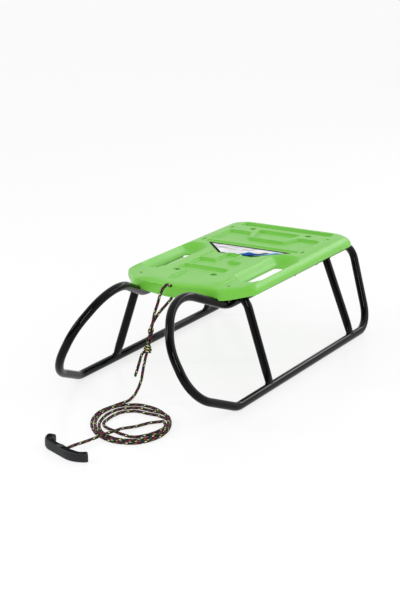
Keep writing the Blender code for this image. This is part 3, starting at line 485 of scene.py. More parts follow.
# joins points with edges, and gives both
def chain(form, points, closed=False):
    knots = [form.verts.new(point) for point in points]
    ends = knots[1:] + knots[:1] if closed else knots[1:]
    return knots + [form.edges.new(pair) for pair in zip(knots, ends)]


# rounds the corner between two directions
def arc(corner, arrive, leave, radius, steps):
    angle = arrive.angle(leave)
    start = corner - arrive * radius * tan(angle / 2)
    inward = (leave - arrive * cos(angle)).normalized()
    return [start + arrive * radius * sin(turn) + inward * radius * (1 - cos(turn)) for turn in ramp(0, angle, steps)]


# straight runs between corners, with a true arc at each
def bend(corners, closed=False, step=radians(4), reach=0.03):
    points = []
    count = len(corners)
    for i, (corner, radius) in enumerate(corners):
        corner = Vector(corner)
        if not closed and i in (0, count - 1):
            points.append(corner)
            continue
        arrive = (corner - Vector(corners[i - 1][0])).normalized()
        leave = (Vector(corners[(i + 1) % count][0]) - corner).normalized()
        points += arc(corner, arrive, leave, radius, max(4, round(arrive.angle(leave) / step)))
    full = []
    ends = points[1:] + points[:1] if closed else points[1:]
    for a, b in zip(points, ends):
        parts = max(1, round((b - a).length / reach))
        full += [a.lerp(b, k / parts) for k in range(parts)]
    return full if closed else full + [points[-1]]


def mirrored(points, side):
    return [Vector((side * p[0], p[1], p[2])) for p in points]


# ---- tube frame

tubes = {"radius": 0.009, "track": 0.380, "curlLean": 0.533, "rearLean": 0.35, "frontLegLean": 0.33,
         "rearLegLean": 0.36, "frontLegY": -0.119, "rearLegY": 0.2715, "footLength": 0.034, "footSpread": 1.45,
         "footFlat": 0.62, "footZ": 0.012, "frontBend": 0.040, "crossLift": 0.0005, "legOut": 0.003,
         "legInto": 0.006, "barInto": 0.005}
tubeRadius = tubes["radius"]


def leaned(y, z, lean):
    return Vector((tubes["track"] / 2 - lean * (z - tubeRadius), y, z))


loopCorners = [(leaned(-0.2615, tubeRadius, tubes["curlLean"]), 0.060),
               (leaned(-0.392, 0.0612, tubes["curlLean"]), 0.088),
               (leaned(-0.392, 0.1565, tubes["curlLean"]), 0.090),
               (leaned(-0.3085, 0.2435, tubes["curlLean"]), 0.100),
               (leaned(-0.1455, 0.1767, tubes["curlLean"]), 0.090),
               (leaned(0.398, 0.1915, tubes["rearLean"]), 0.032),
               (leaned(0.3655, tubeRadius, tubes["rearLean"]), 0.060)]
railDip, railRear = loopCorners[4][0], loopCorners[5][0]


def railAt(y):
    return railDip.lerp(railRear, (y - railDip.y) / (railRear.y - railDip.y))


def pressFoot(item, lean, y):
    for vertex in item.data.vertices:
        reach = 1 - (vertex.co.z - tubeRadius) / tubes["footLength"]
        if reach > 0:
            share = smoothstep(reach)
            centre = leaned(y, vertex.co.z, lean)
            side = 1 if vertex.co.x > 0 else -1
            vertex.co.y = y + (vertex.co.y - y) * (1 + (tubes["footSpread"] - 1) * share)
            offset = (abs(vertex.co.x) - centre.x) * (1 + (tubes["footFlat"] - 1) * share)
            vertex.co.x = side * (centre.x + offset)


def legPoints(y, lean, low, high, steps=12):
    return [leaned(y, z, lean) for z in ramp(low, high, steps)]


def addFrame():
    pieces = []
    path = bend(loopCorners, closed=True)
    for name, side in sides:
        loop = sweep(name + "SideLoop", mirrored(path, side), tubeRadius, "black_paint", closed=True,
                     side=Vector((1, 0, 0)))
        pieces.append((loop, name + "_side_loop"))
    footZ = tubes["footZ"]
    foot = legPoints(tubes["frontLegY"], tubes["frontLegLean"], footZ, footZ + tubes["footLength"])
    topZ = railAt(tubes["frontLegY"]).z + 2 * tubeRadius + tubes["crossLift"]
    top = leaned(tubes["frontLegY"], topZ, tubes["frontLegLean"])
    otherEnd = mirrored([foot[-1]], -1)[0]
    radius = tubes["frontBend"]
    arch = bend([(foot[-1], 0), (top, radius), (mirrored([top], -1)[0], radius), (otherEnd, 0)])
    path = foot[:-1] + arch + list(reversed(mirrored(foot[:-1], -1)))
    cross = sweep("frontCrossTube", path, tubeRadius, "black_paint", side=Vector((0, 1, 0)))
    pressFoot(cross, tubes["frontLegLean"], tubes["frontLegY"])
    pieces.append((cross, "front_cross_tube"))
    rail = railAt(tubes["rearLegY"])
    legTop = Vector((rail.x + tubes["legOut"], tubes["rearLegY"], rail.z - tubes["legInto"]))
    start = legPoints(tubes["rearLegY"], tubes["rearLegLean"], footZ, footZ + tubes["footLength"])
    path = start + [start[-1].lerp(legTop, k / 6) for k in range(1, 7)]
    for name, side in sides:
        leg = sweep(name + "RearLeg", mirrored(path, side), tubeRadius, "black_paint", side=Vector((0, 1, 0)))
        pressFoot(leg, tubes["rearLegLean"], tubes["rearLegY"])
        pieces.append((leg, "rear_" + name + "_leg"))
    end = Vector((rail.x - tubes["barInto"], tubes["rearLegY"], rail.z))
    path = [mirrored([end], -1)[0].lerp(end, k / 12) for k in range(13)]
    bar = sweep("rearCrossBar", path, tubeRadius, "black_paint", side=Vector((0, 1, 0)))
    pieces.append((bar, "rear_cross_bar"))
    for item, node in pieces:
        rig.ride(item, "root")
        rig.replaces(item, node)
    return start[-1], legTop


legBend, legTop = addFrame()
print("tube frame made")


# ---- weld beads

welds = {"bead": 0.0019, "pitch": 0.0013, "points": 40, "foot": (0.010, 0.026), "rail": (0.0, 0.030),
         "crossing": 0.0052}


# a node tree that lays copies of a shape on points, makes them real and paints them
def repeatTree(name, inputs, lay, smooth=False):
    tree = bpy.data.node_groups.new(name, "GeometryNodeTree")
    tree.interface.new_socket(name="Geometry", in_out="OUTPUT", socket_type="NodeSocketGeometry")
    for title, kind in (("Geometry", "Geometry"), *inputs, ("Finish", "Material")):
        tree.interface.new_socket(name=title, in_out="INPUT", socket_type="NodeSocket" + kind)
    given, end = tree.nodes.new("NodeGroupInput").outputs, tree.nodes.new("NodeGroupOutput")

    def add(kind, links=None, **settings):
        item = tree.nodes.new(kind)
        for key, value in settings.items():
            setattr(item, key, value)
        for key, value in (links or {}).items():
            if isinstance(value, bpy.types.NodeSocket):
                tree.links.new(value, item.inputs[key])
            else:
                item.inputs[key].default_value = value
        return item.outputs[0]

    laid = add("GeometryNodeInstanceOnPoints", lay(given, add))
    result = add("GeometryNodeRealizeInstances", {"Geometry": laid})
    if smooth:
        result = add("GeometryNodeSetShadeSmooth", {"Geometry": result})
    result = add("GeometryNodeSetMaterial", {"Geometry": result, "Material": given["Finish"]})
    tree.links.new(result, end.inputs["Geometry"])
    return tree


def runTree(item, tree, values):
    step = item.modifiers.new(tree.name, "NODES")
    step.node_group = tree
    for socket in tree.interface.items_tree:
        if socket.in_out == "INPUT" and socket.name in values:
            step[socket.identifier] = values[socket.name]
    settled(item)


def pointsAlong(given, add):
    line = add("GeometryNodeMeshToCurve", {"Mesh": given["Geometry"]})
    return add("GeometryNodeResampleCurve", {"Curve": line, "Length": given["Pitch"]}, mode="LENGTH")


def weldRipples(given, add):
    ball = add("GeometryNodeMeshIcoSphere", {"Radius": given["Bead radius"], "Subdivisions": 3})
    return {"Points": pointsAlong(given, add), "Instance": ball}


# where a tube's skin meets a straight tube: t runs along the first tube, from inside the second one
def seamPoints(skin, railPoint, railWay, low, high):
    points = []
    for k in range(welds["points"]):
        turn = 2 * pi * k / welds["points"]
        a, b = low, high
        for _ in range(24):
            middle = (a + b) / 2
            off = skin(turn, middle) - railPoint
            away = (off - railWay * off.dot(railWay)).length
            a, b = (middle, b) if away < tubeRadius else (a, middle)
        points.append(skin(turn, (a + b) / 2))
    return points


def footSkin(y, lean):
    def skin(turn, z):
        share = smoothstep(1 - (z - tubeRadius) / tubes["footLength"])
        centre = leaned(y, z, lean)
        wide = 1 + (tubes["footSpread"] - 1) * share
        flat = 1 + (tubes["footFlat"] - 1) * share
        return centre + Vector((cos(turn) * tubeRadius * flat, sin(turn) * tubeRadius * wide, 0))
    return skin


def straightSkin(start, end):
    way = (end - start).normalized()
    across = way.orthogonal().normalized()
    up = way.cross(across)
    return lambda turn, t: start + way * t + (across * cos(turn) + up * sin(turn)) * tubeRadius


def addWelds():
    tree = repeatTree("weldRipples", [("Bead radius", "Float"), ("Pitch", "Float")], weldRipples, smooth=True)
    runner = Vector((tubes["track"] / 2, 0, tubeRadius))
    along = Vector((0, 1, 0))
    railWay = (railRear - railDip).normalized()
    rail = railAt(tubes["rearLegY"])
    rings = [seamPoints(footSkin(tubes["frontLegY"], tubes["frontLegLean"]), runner, along, *welds["foot"]),
             seamPoints(footSkin(tubes["rearLegY"], tubes["rearLegLean"]), runner, along, *welds["foot"]),
             seamPoints(straightSkin(legTop, legBend), rail, railWay, *welds["rail"]),
             seamPoints(straightSkin(rail, Vector((0, rail.y, rail.z))), rail, railWay, *welds["rail"])]
    crossing = railAt(tubes["frontLegY"]) + Vector((0, 0, tubeRadius))
    turns = [2 * pi * k / 32 for k in range(32)]
    rings.append([crossing + Vector((cos(turn), sin(turn), 0)) * welds["crossing"] for turn in turns])
    for name, side in sides:
        form = bmesh.new()
        for ring in rings:
            chain(form, mirrored(ring, side), closed=True)
        beads = fromForm(name + "WeldBeads", form, "black_paint")
        runTree(beads, tree, {"Bead radius": welds["bead"], "Pitch": welds["pitch"], "Finish": paints["black_paint"]})
        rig.ride(beads, "root")


addWelds()
print("welds made")


# ---- seat moulding

seat = {"wall": 0.0025, "deck": 0.2242, "skirt": 0.203, "apron": 0.195, "sideX": 0.158, "rearY": 0.357,
        "frontY": -0.203, "frontCrossing": -0.2083, "frontCorner": (0.104, -0.1795), "sideCornerY": -0.118,
        "cornerRound": 0.030, "rearRound": 0.035, "bowRound": 0.090, "frontEdge": (0.022, 0.2155),
        "cornerEdge": (0.050, 0.2125), "sideEdge": (0.030, 0.203), "rearEdge": (0.018, 0.208), "levels": 16,
        "draft": 0.0024, "pocketDepth": 0.005, "pocketRound": 0.0045, "rimFillet": 0.0015, "floorFillet": 0.0018,
        "clearance": 0.0003, "above": 0.006, "trimFront": (-0.165, -0.095), "trimX": 0.190, "trimBack": 0.018,
        "insideRound": 0.004, "rimReach": radians(68), "runOut": (0.0006, 0.0011, 0.0004)}
belowSeat, underApron, underDeck, overSeat = 0.187, 0.190, 0.197, 0.240  # how far down and up the cutters reach
deckZ = seat["deck"]


def inset(outline, distances):
    count = len(outline)
    distances = distances if hasattr(distances, "__len__") else [distances] * count
    lines = []
    for i in range(count):
        start, end = Vector(outline[i]), Vector(outline[(i + 1) % count])
        run = (end - start).normalized()
        lines.append((start + Vector((-run.y, run.x)) * distances[i], run))
    moved = []
    for i in range(count):
        (a, runA), (b, runB) = lines[i - 1], lines[i]
        cross = runA.x * runB.y - runA.y * runB.x
        moved.append(a + runA * (((b.x - a.x) * runB.y - (b.y - a.y) * runB.x) / cross))
    return moved


# fillets the corners of an outline; grow makes outer corners rounder and inner ones tighter, as an offset does
def rounded(outline, radii, steps, grow=0.0):
    count = len(outline)
    radii = radii if hasattr(radii, "__len__") else [radii] * count
    points = []
    for i in range(count):
        corner = Vector(outline[i])
        before, after = Vector(outline[i - 1]), Vector(outline[(i + 1) % count])
        arrive, leave = (corner - before).normalized(), (after - corner).normalized()
        outer = arrive.x * leave.y - arrive.y * leave.x > 0
        room = 0.48 * min((corner - before).length, (after - corner).length) / tan(arrive.angle(leave) / 2)
        radius = min(max(0.0004, radii[i] + (grow if outer else -grow)), room)
        points += arc(corner, arrive, leave, radius, steps)
    return points


def atHeight(points, z):
    return [Vector((p.x, p.y, z)) for p in points]


# an outline moved inwards, rounded and laid at a height
def ringAt(z, outline, inwards, radii, steps, grow=0.0):
    return atHeight(rounded(inset(outline, inwards), radii, steps, grow), z)


def flipped(outline):
    return [(-x, y) for x, y in reversed(outline)]


def rectangle(x0, x1, y0, y1):
    return [(x0, y0), (x1, y0), (x1, y1), (x0, y1)]


def edgeInset(edge, z, wall):
    reach, start = edge
    share = min(1.0, max(0.0, (z - start) / (deckZ - wall - start)))
    return wall + reach * (1 - sqrt(1 - share * share))


def seatRing(z, wall):
    side, front = seat["sideX"], seat["frontCorner"]
    outline = [(0, seat["frontCrossing"]), front, (side, seat["sideCornerY"]), (side, seat["rearY"]),
               (-side, seat["rearY"]), (-side, seat["sideCornerY"]), (-front[0], front[1])]
    edges = [seat[key] for key in ("frontEdge", "cornerEdge", "sideEdge", "rearEdge", "sideEdge", "cornerEdge",
                                   "frontEdge")]
    corner, rear = seat["cornerRound"], seat["rearRound"]
    radii = (seat["bowRound"], corner, corner, rear, rear, corner, corner)
    return ringAt(z, outline, [edgeInset(edge, z, wall) for edge in edges], radii, 8)


def seatMass(name, wall, bottom):
    top = deckZ - wall
    levels = [bottom] + [seat["skirt"] + (top - seat["skirt"]) * sin(turn) for turn in
                         ramp(0, pi / 2, seat["levels"])]
    return loft(name, [seatRing(z, wall) for z in levels])


# a symmetric outline from its right half; lead is how many of its left points come first
def bothSides(half, lead):
    left = [(-x, y) for x, y in reversed(half)]
    return left[-lead:] + half + left[:-lead]


# the right half of each pocket's floor, with its lead and depth; the last one is the label's recess
pockets = [(bothSides(half, lead), depth) for half, lead, depth in (
    ([(0.027, -0.168), (0.027, -0.088), (0.0555, -0.083), (0.0520, -0.0526)], 1, 0.0050),
    ([(0.0500, -0.043), (0.0500, 0.008), (0.0145, 0.008), (0.0145, 0.066)], 1, 0.0050),
    ([(0.115, 0.167), (0.113, 0.2565), (0.0612, 0.2565), (0.045, 0.211)], 1, 0.0050),
    ([(0.035, 0.224), (0.051, 0.284)], 1, 0.0050),
    ([(0.1132, 0.308), (0.1120, 0.331)], 1, 0.0065),
    ([(0.0205, 0.0700), (0.0205, 0.013), (0.0565, 0.013), (0.0565, 0.080), (0.1140, 0.1425), (0.1140, 0.1520)], 3,
     0.0025))]
scoops = {"floorZ": 0.207, "floor": (0.0995, 0.1255, -0.0845, 0.092), "spread": (0.022, 0.0265, 0.0255, 0.026),
          "round": 0.017, "slot": (0.1005, 0.1245, -0.0640, 0.0695), "slotRound": 0.0115, "lip": 0.0065,
          "lipEnds": 0.010}
pads = {"floorZ": 0.2190, "floor": (0.0965, 0.1330, -0.260, -0.098), "spread": (0.0115, 0.017, 0.0, 0.030),
        "round": 0.006}
details = {"holes": ((0.0443, -0.102), (0.0712, 0.285)), "hole": 0.0155, "toolSlot": (0.0055, 0.018),
           "toolSlots": ((0.1234, 0.1507), (0.1216, 0.2773)), "apronMark": (0.0198, 0.0445, 0.2160, 0.0034, 0.0010),
           "creases": (-0.108, 0.277), "crease": (0.0086, 0.0034, 0.0030, 0.2210),
           "ropeHole": (0.0010, -0.2005, 0.2165), "ropeHoleWidth": 0.0072, "ropeHoleReach": (0.009, 0.012)}
ribs = {"thick": 0.0025, "bottom": 0.2045, "long": (0.014, 0.084),
        "cross": (-0.137, 0.127, 0.143, 0.224, 0.240, 0.344), "saddles": (-0.137, 0.127, 0.143, 0.224, 0.240),
        "saddleWidth": 0.030, "frontSaddleWidth": 0.009, "saddleThick": 0.003, "boss": 0.0080,
        "bossFit": 0.0004, "bossUp": 0.004, "sink": 0.002, "margin": 0.001, "frontGap": 0.020, "lipGap": 0.0006}
screws = {"front": (0.005, -0.1465), "rail": (0.135, 0.232), "face": 0.2176, "railTop": 0.2100, "frontDepth": 0.007,
          "shank": 0.0036, "head": 0.0060, "headHeight": 0.0018, "spotFace": 0.0012, "drive": (0.0021, 0.00045)}


# a pocket's cutter: filleted floor, drafted wall, rim that opens out onto the deck
def pocketCutter(name, outline, depth):
    floorZ, rim, low = deckZ - depth, seat["rimFillet"], min(seat["floorFillet"], depth * 0.4)
    lean = seat["draft"] / seat["pocketDepth"]
    levels = []
    for turn in ramp(0, pi / 2, 5):
        levels.append((floorZ + low * (1 - cos(turn)), -low * (1 - sin(turn)) + lean * low * (1 - cos(turn))))
    wallTop = deckZ - rim
    levels.append((wallTop, lean * (wallTop - floorZ)))
    for turn in ramp(0, seat["rimReach"], 4)[1:]:
        levels.append((wallTop + rim * sin(turn), lean * (wallTop - floorZ) + rim * (1 - cos(turn))))
    rise, near, far = seat["runOut"]
    levels.append((deckZ + rise, levels[-1][1] + near))
    levels.append((deckZ + seat["above"], levels[-1][1] + far))
    return loft(name, [ringAt(z, outline, -out, seat["pocketRound"], 5, out) for z, out in levels])


def plainCutter(name, outline, depth, grow):
    lean = seat["draft"] * (depth + seat["above"]) / seat["pocketDepth"]
    ends = ((deckZ - depth - grow, -grow), (deckZ - grow + seat["above"], -grow - lean))
    return loft(name, [ringAt(z, outline, inwards, seat["insideRound"], 3) for z, inwards in ends])


# a hand-hold's or pad's cutter: its walls sweep up softly from the floor and roll over onto the deck
def scoopCutter(name, side, grow, bowl=scoops):
    x0, x1, y0, y1 = bowl["floor"]
    rise, wave, over = deckZ - bowl["floorZ"], pi * 0.93, 1.35
    levels = [(t, 0.6 + 0.4 * t, bowl["floorZ"] + rise * (1 - cos(wave * t)) / (1 - cos(wave)))
              for t in ramp(0, 1, 14)]
    rings = []
    for t, share, z in levels + [(over, 1.0, deckZ + seat["above"])]:
        left, right, front, back = (spread * t for spread in bowl["spread"])
        outline = inset(rectangle(x0 - left, x1 + right, y0 - front, y1 + back), -grow * share)
        outline = flipped(outline) if side < 0 else outline
        rings.append(atHeight(rounded(outline, bowl["round"] * (1 + t), 7), z - grow))
    return loft(name, rings)


def slotCutter(name, outline, radius, low, high, side):
    ring = rounded(flipped(outline) if side < 0 else outline, radius, 6)
    return loft(name, [atHeight(ring, low), atHeight(ring, high)])


def boxCutter(name, low, high):
    form = bmesh.new()
    centre, size = (Vector(low) + Vector(high)) / 2, Vector(high) - Vector(low)
    bmesh.ops.create_cube(form, size=1.0, matrix=Matrix.Translation(centre) @ Matrix.Diagonal((*size, 1)))
    return fromForm(name, form)


def rodCutter(name, width, start, end, count=32):
    form = bmesh.new()
    start, end = Vector(start), Vector(end)
    turn = (end - start).to_track_quat("Z", "Y").to_matrix().to_4x4()
    bmesh.ops.create_cone(form, cap_ends=True, segments=count, radius1=width / 2, radius2=width / 2,
                          depth=(end - start).length, matrix=Matrix.Translation((start + end) / 2) @ turn)
    return fromForm(name, form)


def screwPlaces():
    turn = (railDip - loopCorners[3][0]).angle(railRear - railDip)
    lift = loopCorners[4][1] * (1 / cos(turn / 2) - 1)  # the bend lifts the tube off its corner
    places = [("front", Vector((railDip.x + screws["front"][0], screws["front"][1], railDip.z + lift)))]
    return places + [("rail", railAt(y)) for y in screws["rail"]]


def seatCutters():
    bowSlope = (seat["frontCorner"][1] - seat["frontCrossing"]) / seat["frontCorner"][0]
    bowls, inner, webs, saddles, openings = [], [], [], [], []
    for i, (outline, depth) in enumerate(pockets):
        bowls.append(pocketCutter("pocket%d" % i, outline, depth))
        inner.append(plainCutter("inside%d" % i, outline, depth, seat["wall"]))
    margin, sink, half = ribs["margin"], ribs["sink"], ribs["thick"] / 2
    top, wide = deckZ + margin, seat["sideX"] - margin
    for y in ribs["cross"]:
        webs.append(boxCutter("web", (-wide, y - half, ribs["bottom"]), (wide, y + half, top)))
    for name, side in sides:
        inner0, outer0 = sorted((side * scoops["slot"][1], side * (scoops["slot"][1] + seat["wall"])))
        saddles.append(boxCutter("handLip", (inner0, scoops["slot"][2] + scoops["lipEnds"],
                                             scoops["floorZ"] - scoops["lip"]),
                                 (outer0, scoops["slot"][3] - scoops["lipEnds"], scoops["floorZ"] - ribs["lipGap"])))
        bowls.append(scoopCutter(name + "Scoop", side, 0.0))
        inner.append(scoopCutter(name + "ScoopInside", side, seat["wall"]))
        bowls.append(scoopCutter(name + "Pad", side, 0.0, pads))
        inner.append(scoopCutter(name + "PadInside", side, seat["wall"], pads))
        for x in ribs["long"]:
            webs.append(boxCutter("web", (side * x - half, seat["frontY"] + ribs["frontGap"], ribs["bottom"]),
                                  (side * x + half, seat["rearY"] - margin, top)))
        for y in ribs["saddles"]:
            rail, thick = railAt(y), ribs["saddleThick"] / 2
            wide = ribs["saddleWidth"] / 2 if y > 0 else ribs["frontSaddleWidth"] / 2
            saddles.append(boxCutter("saddle", (side * rail.x - wide, y - thick, rail.z + sink),
                                     (side * rail.x + wide, y + thick, ribs["bottom"] + sink)))
        for kind, at in screwPlaces():
            x, y, z = side * at.x, at.y, at.z
            webs.append(rodCutter("bossRoot", ribs["boss"], (x, y, ribs["bottom"]), (x, y, top)))
            if kind == "rail":
                saddles.append(rodCutter("boss", ribs["boss"] - ribs["bossFit"], (x, y, z + ribs["bossUp"]),
                                         (x, y, ribs["bottom"] + sink)))
            else:
                openings.append(rodCutter("spotFace", screws["head"] + screws["spotFace"], (x, y, screws["face"]),
                                          (x, y, top)))
        for x, y in details["holes"]:
            openings.append(rodCutter("hole", details["hole"], (side * x, y, underApron),
                                      (side * x, y, overSeat), 40))
        width, length = details["toolSlot"]
        for x, y in details["toolSlots"]:
            outline = rectangle(x - width / 2, x + width / 2, y - length / 2, y + length / 2)
            openings.append(slotCutter("toolSlot", outline, width * 0.48, underDeck, overSeat, side))
        openings.append(slotCutter("handSlot", rectangle(*scoops["slot"]), scoops["slotRound"], underDeck,
                                   scoops["floorZ"] + seat["wall"], side))
        x0, x1, z, tall, deep = details["apronMark"]
        near, far = (seat["frontCrossing"] + bowSlope * x for x in (x0, x1))
        outline = [(x0, near - 0.003), (x1, far - 0.003), (x1, far + deep), (x0, near + deep)]
        openings.append(slotCutter("apronMark", outline, 0.0004, z - tall / 2, z + tall / 2, side))
        width, out, lean, high = details["crease"]
        for y in details["creases"]:
            x = side * (seat["sideX"] + out)
            openings.append(rodCutter("crease", width, (x, y, underApron), (x - side * lean, y, high)))
    hole = Vector(details["ropeHole"])
    axis = Vector((0, -cos(radians(45)), sin(radians(45))))
    down, up = details["ropeHoleReach"]
    openings.append(rodCutter("ropeHole", details["ropeHoleWidth"], hole - axis * down, hole + axis * up))
    for name, side in sides:
        path = bend(loopCorners, closed=True, step=radians(8))
        openings.append(sweep(name + "LoopRoom", mirrored(path, side), tubeRadius + seat["clearance"], None, 24,
                              closed=True, side=Vector((1, 0, 0))))
    return bowls, inner, webs, saddles, openings


def addSeat():
    names = ("bowls", "inner", "webs", "saddles", "openings")
    bowls, inner, webs, saddles, openings = groups = [gather(*pair) for pair in zip(names, seatCutters())]
    core = seatMass("seatCore", seat["wall"], belowSeat)
    combine(core, "DIFFERENCE", inner)
    combine(core, "DIFFERENCE", webs)
    (front, back), rear = seat["trimFront"], seat["rearY"] + seat["trimBack"]
    profile = [(front, belowSeat), (front, seat["apron"]), (back, seat["skirt"]), (rear, seat["skirt"]),
               (rear, belowSeat)]
    trim = loft("skirtTrim", [[Vector((x, y, z)) for y, z in profile] for x in (-seat["trimX"], seat["trimX"])])
    hollow = gather("hollow", [core, trim])
    shell = seatMass("seatMoulding", 0.0, seat["apron"])
    for operation, group in (("DIFFERENCE", bowls), ("DIFFERENCE", hollow), ("UNION", saddles),
                             ("DIFFERENCE", openings)):
        combine(shell, operation, group)
    settled(shell)
    discard(*groups, hollow)
    shell.data.materials.clear()
    shell.data.materials.append(paints["lime_plastic"])
    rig.slot(shell, "lime_plastic")
    form = bmesh.new()
    form.from_mesh(shell.data)
    bmesh.ops.remove_doubles(form, verts=form.verts, dist=0.00002)
    bmesh.ops.dissolve_limit(form, angle_limit=radians(0.4), verts=form.verts, edges=form.edges)
    form.to_mesh(shell.data)
    form.free()
    shell.data.shade_smooth()
    shell.data.set_sharp_from_angle(angle=radians(42))
    weigh = shell.modifiers.new("weigh", "WEIGHTED_NORMAL")
    weigh.keep_sharp, weigh.weight = True, 80
    settled(shell)
    print("seat has %d faces" % len(shell.data.polygons))
    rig.ride(shell, "root")
    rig.replaces(shell, "seat_shell")


addSeat()
print("seat made")


# ---- label in the recess

notch = ((-0.0190, 0.0690), (-0.0160, 0.0775), (0.0000, 0.0775), (0.0030, 0.0690))


def addLabel():
    front, rear = label["front"], label["rear"]
    outline = [(-front[0], front[1]), *notch, front, rear, (-rear[0], rear[1])]
    edge, thick = label["edge"], label["thick"]
    film = loft("seatLabel", [ringAt(label["floor"] + z, outline, inwards, label["round"], 6) for inwards, z in
                              ((edge, 0), (0, edge), (0, thick - edge), (edge, thick))], "label_film", 60)
    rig.ride(film, "root")
    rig.replaces(film, "seat_label")


addLabel()


# ---- screws

def screwForm(length):
    head, high, shank = screws["head"] / 2, screws["headHeight"], screws["shank"] / 2
    profile = [(0, high)] + [(head * sin(t), high * (0.35 + 0.65 * cos(t))) for t in
                             (pi / 2 * k / 6 for k in range(1, 7))]
    profile += [(head, 0), (shank, 0), (shank, -length + shank), (shank * 0.3, -length), (0, -length)]
    form = bmesh.new()
    bmesh.ops.spin(form, geom=chain(form, [(x, 0, z) for x, z in profile]), cent=(0, 0, 0), axis=(0, 0, 1),
                   angle=2 * pi, steps=32)
    bmesh.ops.remove_doubles(form, verts=form.verts, dist=0.00002)
    return form


def addScrews():
    kinds = (("frontSeat", "front_seat_screw_"), ("middleRail", "middle_rail_screw_"),
             ("rearRail", "rear_rail_screw_"))
    for (place, at), (name, stem) in zip(screwPlaces(), kinds):
        if place == "front":
            z, flip = screws["face"] + seat["clearance"], (0, 0, 0)
            length = z - at.z - tubeRadius + screws["frontDepth"]
        else:
            z, flip = at.z - tubeRadius - seat["clearance"], (pi, 0, 0)
            length = screws["railTop"] - z
        template = fromForm("screwTemplate", screwForm(length), "zinc_steel", 30)
        drive = gather("drive", [boxCutter("driveSlot", (-a, -b, screws["headHeight"] * 0.45), (a, b, 0.01))
                                 for a, b in (screws["drive"], screws["drive"][::-1])])
        combine(template, "DIFFERENCE", drive)
        settled(template)

        def lay(given, add):
            sample = add("GeometryNodeObjectInfo", {"Object": template}).node.outputs["Geometry"]
            return {"Points": add("GeometryNodeMeshToPoints", {"Mesh": given["Geometry"]}), "Instance": sample,
                    "Rotation": add("FunctionNodeEulerToRotation", {"Euler": given["Flip"]})}

        mesh = bpy.data.meshes.new(name + "Screws")
        mesh.from_pydata([Vector((side * at.x, at.y, z)) for _, side in sides], [], [])
        batch = addObject(name + "Screws", mesh, "zinc_steel")
        runTree(batch, repeatTree("screwsOnPoints", [("Flip", "Vector")], lay),
                {"Flip": flip, "Finish": paints["zinc_steel"]})
        discard(drive)
        bpy.data.objects.remove(template, do_unlink=True)
        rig.ride(batch, "root")
        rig.replaces(batch, *[stem + side for side, _ in sides])


addScrews()
print("label and screws made")


# ---- rope

rope = {"width": 0.0061, "lift": 0.0003, "sides": 24, "spacing": 0.0015, "knotAt": (-0.0188, -0.2620, 0.0955),
        "twistTop": (-0.0150, -0.2500, 0.1475), "twistTurn": 0.036, "twistGap": 0.0001, "knotInto": 0.004,
        "knotTurns": 2.3, "knotReach": (0.0047, 0.0012), "knotRise": (0.0052, 0.0022), "stopTurns": 1.6,
        "stopReach": 0.0026, "stopRise": 0.0016, "tip": (0.86, 0.45), "coilOff": 0.0055}
coil = {"centre": (0.0474, -0.4313), "long": 0.1105, "short": 0.078, "axis": radians(122), "turns": 3.64,
        "start": radians(136), "firstPitch": 0.0066, "pitch": (0.0108, 0.0056, 0.00015, 0.0026),
        "pitchAxis": radians(120), "climb": 0.0060, "climbReach": 0.0064, "climbMiddle": radians(18),
        "climbWidth": radians(80), "bight": 0.020, "bightAngles": (212, 276, 288, 322), "endTurn": radians(14)}
frontRoute = [(-0.0050, -0.2225, 0.2170), (-0.0078, -0.2300, 0.2040), (-0.0108, -0.2362, 0.1850),
              (-0.0142, -0.2425, 0.1665)]
holeRoute = [(-0.0020, -0.2130, 0.2225), (0.0008, -0.2035, 0.2195), (0.0012, -0.1950, 0.2110)]
backRoute = [(0.0008, -0.1915, 0.2005), (-0.0012, -0.1955, 0.1905), (-0.0035, -0.2065, 0.1825),
             (-0.0062, -0.2205, 0.1745), (-0.0085, -0.2360, 0.1655)]
leadRoute = [(-0.0203, -0.2685, 0.0780), (-0.0219, -0.2718, 0.0641), (-0.0232, -0.2750, 0.0499),
             (-0.0242, -0.2778, 0.0365), (-0.0262, -0.2830, 0.0225), (-0.0285, -0.2915, 0.0105),
             (-0.0290, -0.3010, 0.0045), (-0.0275, -0.3140, 0.0029), (-0.0258, -0.3290, 0.0029)]
tailRoute = [(-0.0325, -0.2611, 0.0831), (-0.0355, -0.2625, 0.0745), (-0.0375, -0.2655, 0.0640),
             (-0.0397, -0.2685, 0.0520), (-0.0420, -0.2705, 0.0425), (-0.0440, -0.2712, 0.0345)]
runRoute = [(0.1105, -0.4085, 0.0081), (0.1035, -0.4022, 0.0072), (0.0955, -0.3997, 0.0047),
            (0.0880, -0.4015, 0.0031), (0.0815, -0.4075, 0.0029), (0.0758, -0.4170, 0.0029),
            (0.0702, -0.4300, 0.0029), (0.0650, -0.4450, 0.0036), (0.0605, -0.4610, 0.0060),
            (0.0568, -0.4780, 0.0090), (0.0530, -0.4950, 0.0097), (0.0480, -0.5120, 0.0097),
            (0.0425, -0.5290, 0.0094), (0.0370, -0.5460, 0.0078), (0.0325, -0.5620, 0.0072),
            (0.0290, -0.5790, 0.0078), (0.0262, -0.5920, 0.0085)]


def climbShare(angle):
    off = (angle - coil["climbMiddle"] + pi) % (2 * pi) - pi
    return smoothstep(1.6 * (1 - abs(off) / coil["climbWidth"]))


def turnPitch(angle, wide):
    share = climbShare(angle)
    near = sqrt(coil["climbReach"] ** 2 - (coil["climb"] * share) ** 2)
    return wide + (near - wide) * share


